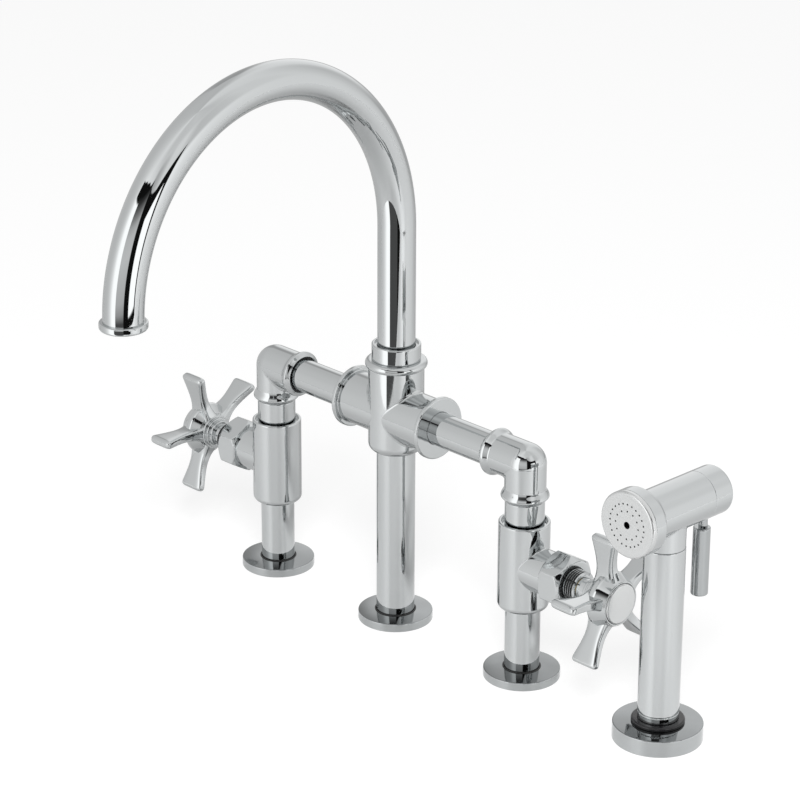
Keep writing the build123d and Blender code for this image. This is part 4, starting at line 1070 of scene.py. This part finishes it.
class FAUCET_OT_stage(bpy.types.Operator):
    """Build the floor, the studio and the camera"""
    bl_idname = "faucet.stage"
    bl_label = "Stage"

    def execute(self, context):
        scene = context.scene
        studio_world(scene)
        key_light(scene)
        half, drop = 6.0, 0.0002
        corners = [(x * half, y * half, 0) for x, y in ((-1, -1), (1, -1), (1, 1), (-1, 1))]
        mesh = bpy.data.meshes.new("floor")
        mesh.from_pydata(corners, [], [(0, 1, 2, 3)])
        mesh.materials.append(floor_material())
        floor = bpy.data.objects.new("floor", mesh)
        floor.location.z = -drop
        scene.collection.objects.link(floor)
        self.camera(scene)
        scene.view_settings.view_transform = "Standard"
        return {"FINISHED"}

    def camera(self, scene):
        """Camera at the photograph's view, by azimuth and elevation round the centre column."""
        view = scene.faucet_view
        azimuth, elevation, roll = view.azimuth, view.elevation, view.roll
        back = np.array([math.sin(azimuth) * math.cos(elevation), -math.cos(azimuth) * math.cos(elevation),
                         math.sin(elevation)])
        right = np.array([math.cos(azimuth), math.sin(azimuth), 0])
        up = np.cross(back, right)
        side = math.cos(roll) * right + math.sin(roll) * up
        top = -math.sin(roll) * right + math.cos(roll) * up
        place = back * view.distance + side * view.aside + top * view.above
        data = bpy.data.cameras.new("camera")
        data.sensor_width = 36.0
        data.lens = view.focal
        data.clip_start, data.clip_end = 0.05, 30.0
        camera = bpy.data.objects.new("camera", data)
        axes = np.stack([side, top, back, place], 1)
        camera.matrix_world = Matrix([*axes, (0, 0, 0, 1)])
        scene.collection.objects.link(camera)
        scene.camera = camera


# ---- settings ---------------------------------------------------------------------------------
def length(name, description, millimetres):
    return FloatProperty(name=name, description=description, default=millimetres * MM, unit="LENGTH",
                         precision=5)


def angle(name, description, degrees):
    return FloatProperty(name=name, description=description, default=math.radians(degrees), subtype="ANGLE")


def colour(name, description, value):
    return FloatVectorProperty(name=name, description=description, default=value, size=3, subtype="COLOR",
                               min=0, max=1)


class FaucetSizes(bpy.types.PropertyGroup):
    """Sizes of the shown pieces"""
    flange_edge: length("Flange edge", "Rounding of a deck flange's rim", 0.8)
    tube_wall: length("Tube wall", "Wall of the drawn tubes", 2.2)
    stub_fillet: length("Stub fillet", "Rounding where a valve body's stub leaves its barrel", 0.6)
    cast_fillet: length("Casting fillet", "Rounding where the centre body's arms leave its barrel", 1.82)
    elbow_radius: length("Elbow radius", "Outer radius of a square elbow", 11.6)
    elbow_fillet: length("Elbow fillet", "Rounding inside a square elbow", 2.4)
    stub_radius: length("Stub radius", "Radius of a valve body's side stub", 12.5)
    bead_width: length("Bead width", "Width of an elbow's beads", 7.6)
    barrel_radius: length("Barrel radius", "Radius of the centre body's upright barrel", 15.9)
    arm_radius: length("Arm radius", "Radius of the centre body's level barrel", 15.4)
    spout_radius: length("Spout radius", "Outer radius of the spout's tube", 10.75)
    nut_chamfer: length("Nut chamfer", "Chamfer of the bonnet nuts", 1.6)
    seal_section: length("Seal section", "Radius of the round section of a foot seal", 0.5)
    arm_plane: length("Arm plane", "Distance of the handle's arms from the column's axis", 63.6)
    arm_length: length("Arm length", "Reach of a handle's arm from its axis", 38.3)
    cold_arm_turn: angle("Cold handle", "First arm's lean towards the user", 7.0)
    hot_arm_turn: angle("Hot handle", "First arm's lean towards the user", 16.0)


class FaucetFinish(bpy.types.PropertyGroup):
    """Colours of the finishes that are in view"""
    chrome: colour("Chrome", "Colour of the bright chrome", (0.56, 0.577, 0.581))
    # The flange and rim colours are darker copies of the chrome: painted shade on the flanges' tops, lighter
    # on their rims.
    flange: colour("Flange chrome", "Colour of the tops of the deck flanges", (0.365, 0.38, 0.385))
    rim: colour("Flange rim", "Colour of the rims of the deck flanges", (0.45, 0.465, 0.47))
    # The lever colour is a darker copy of the chrome: painted shade.
    lever: colour("Lever chrome", "Colour of the sprayer's lever", (0.42, 0.435, 0.44))
    pearl: colour("Pearl", "Colour of the index buttons and the spray face", (0.66, 0.67, 0.67))
    rubber: colour("Rubber", "Colour of the seal rings", (0.012, 0.012, 0.012))
    nylon: colour("Nylon", "Colour of the guide bush", (0.008, 0.008, 0.009))


class FaucetView(bpy.types.PropertyGroup):
    """The photograph's view"""
    azimuth: angle("Azimuth", "Direction that the camera looks from", 45.844)
    elevation: angle("Elevation", "Height of the camera above the horizon", 22.076)
    roll: angle("Roll", "Tilt of the camera", 0.223)
    distance: length("Distance", "Camera's distance from the centre column", 1801.532)
    aside: length("Aside", "Camera's shift to its right", 2.646)
    above: length("Above", "Camera's shift upwards", 125.587)
    focal: FloatProperty(name="Focal length", description="Lens in millimetres on a 36 mm frame",
                         default=139.282)


class FAUCET_PT_panel(bpy.types.Panel):
    """Lists the pieces of the faucet and its settings"""
    bl_idname = "FAUCET_PT_panel"
    bl_label = "Bridge faucet"
    bl_space_type = "VIEW_3D"
    bl_region_type = "UI"
    bl_category = "Faucet"

    def draw(self, context):
        for operator in OPERATORS:
            self.layout.operator(operator.bl_idname)
        for settings in (context.scene.faucet_sizes, context.scene.faucet_finish, context.scene.faucet_view):
            box = self.layout.box()
            for name in settings.__annotations__:
                box.prop(settings, name)


OPERATORS = (FAUCET_OT_kept_nodes, FAUCET_OT_flanges, FAUCET_OT_columns, FAUCET_OT_valve_bodies,
             FAUCET_OT_elbows, FAUCET_OT_centre_body, FAUCET_OT_spout, FAUCET_OT_bonnets,
             FAUCET_OT_cross_handles, FAUCET_OT_spray_wand, FAUCET_OT_seals, FAUCET_OT_stage)
SETTINGS = (("faucet_sizes", FaucetSizes), ("faucet_finish", FaucetFinish), ("faucet_view", FaucetView))


def register():
    for cls in (*(group for _, group in SETTINGS), *OPERATORS, FAUCET_PT_panel):
        bpy.utils.register_class(cls)
    for name, group in SETTINGS:
        setattr(bpy.types.Scene, name, PointerProperty(type=group))


def unregister():
    for name, _ in SETTINGS:
        delattr(bpy.types.Scene, name)
    for cls in reversed((*(group for _, group in SETTINGS), *OPERATORS, FAUCET_PT_panel)):
        bpy.utils.unregister_class(cls)


def main():
    register()
    for operator in OPERATORS:
        section, name = operator.bl_idname.split(".")
        getattr(getattr(bpy.ops, section), name)()


if __name__ == "__main__":
    main()
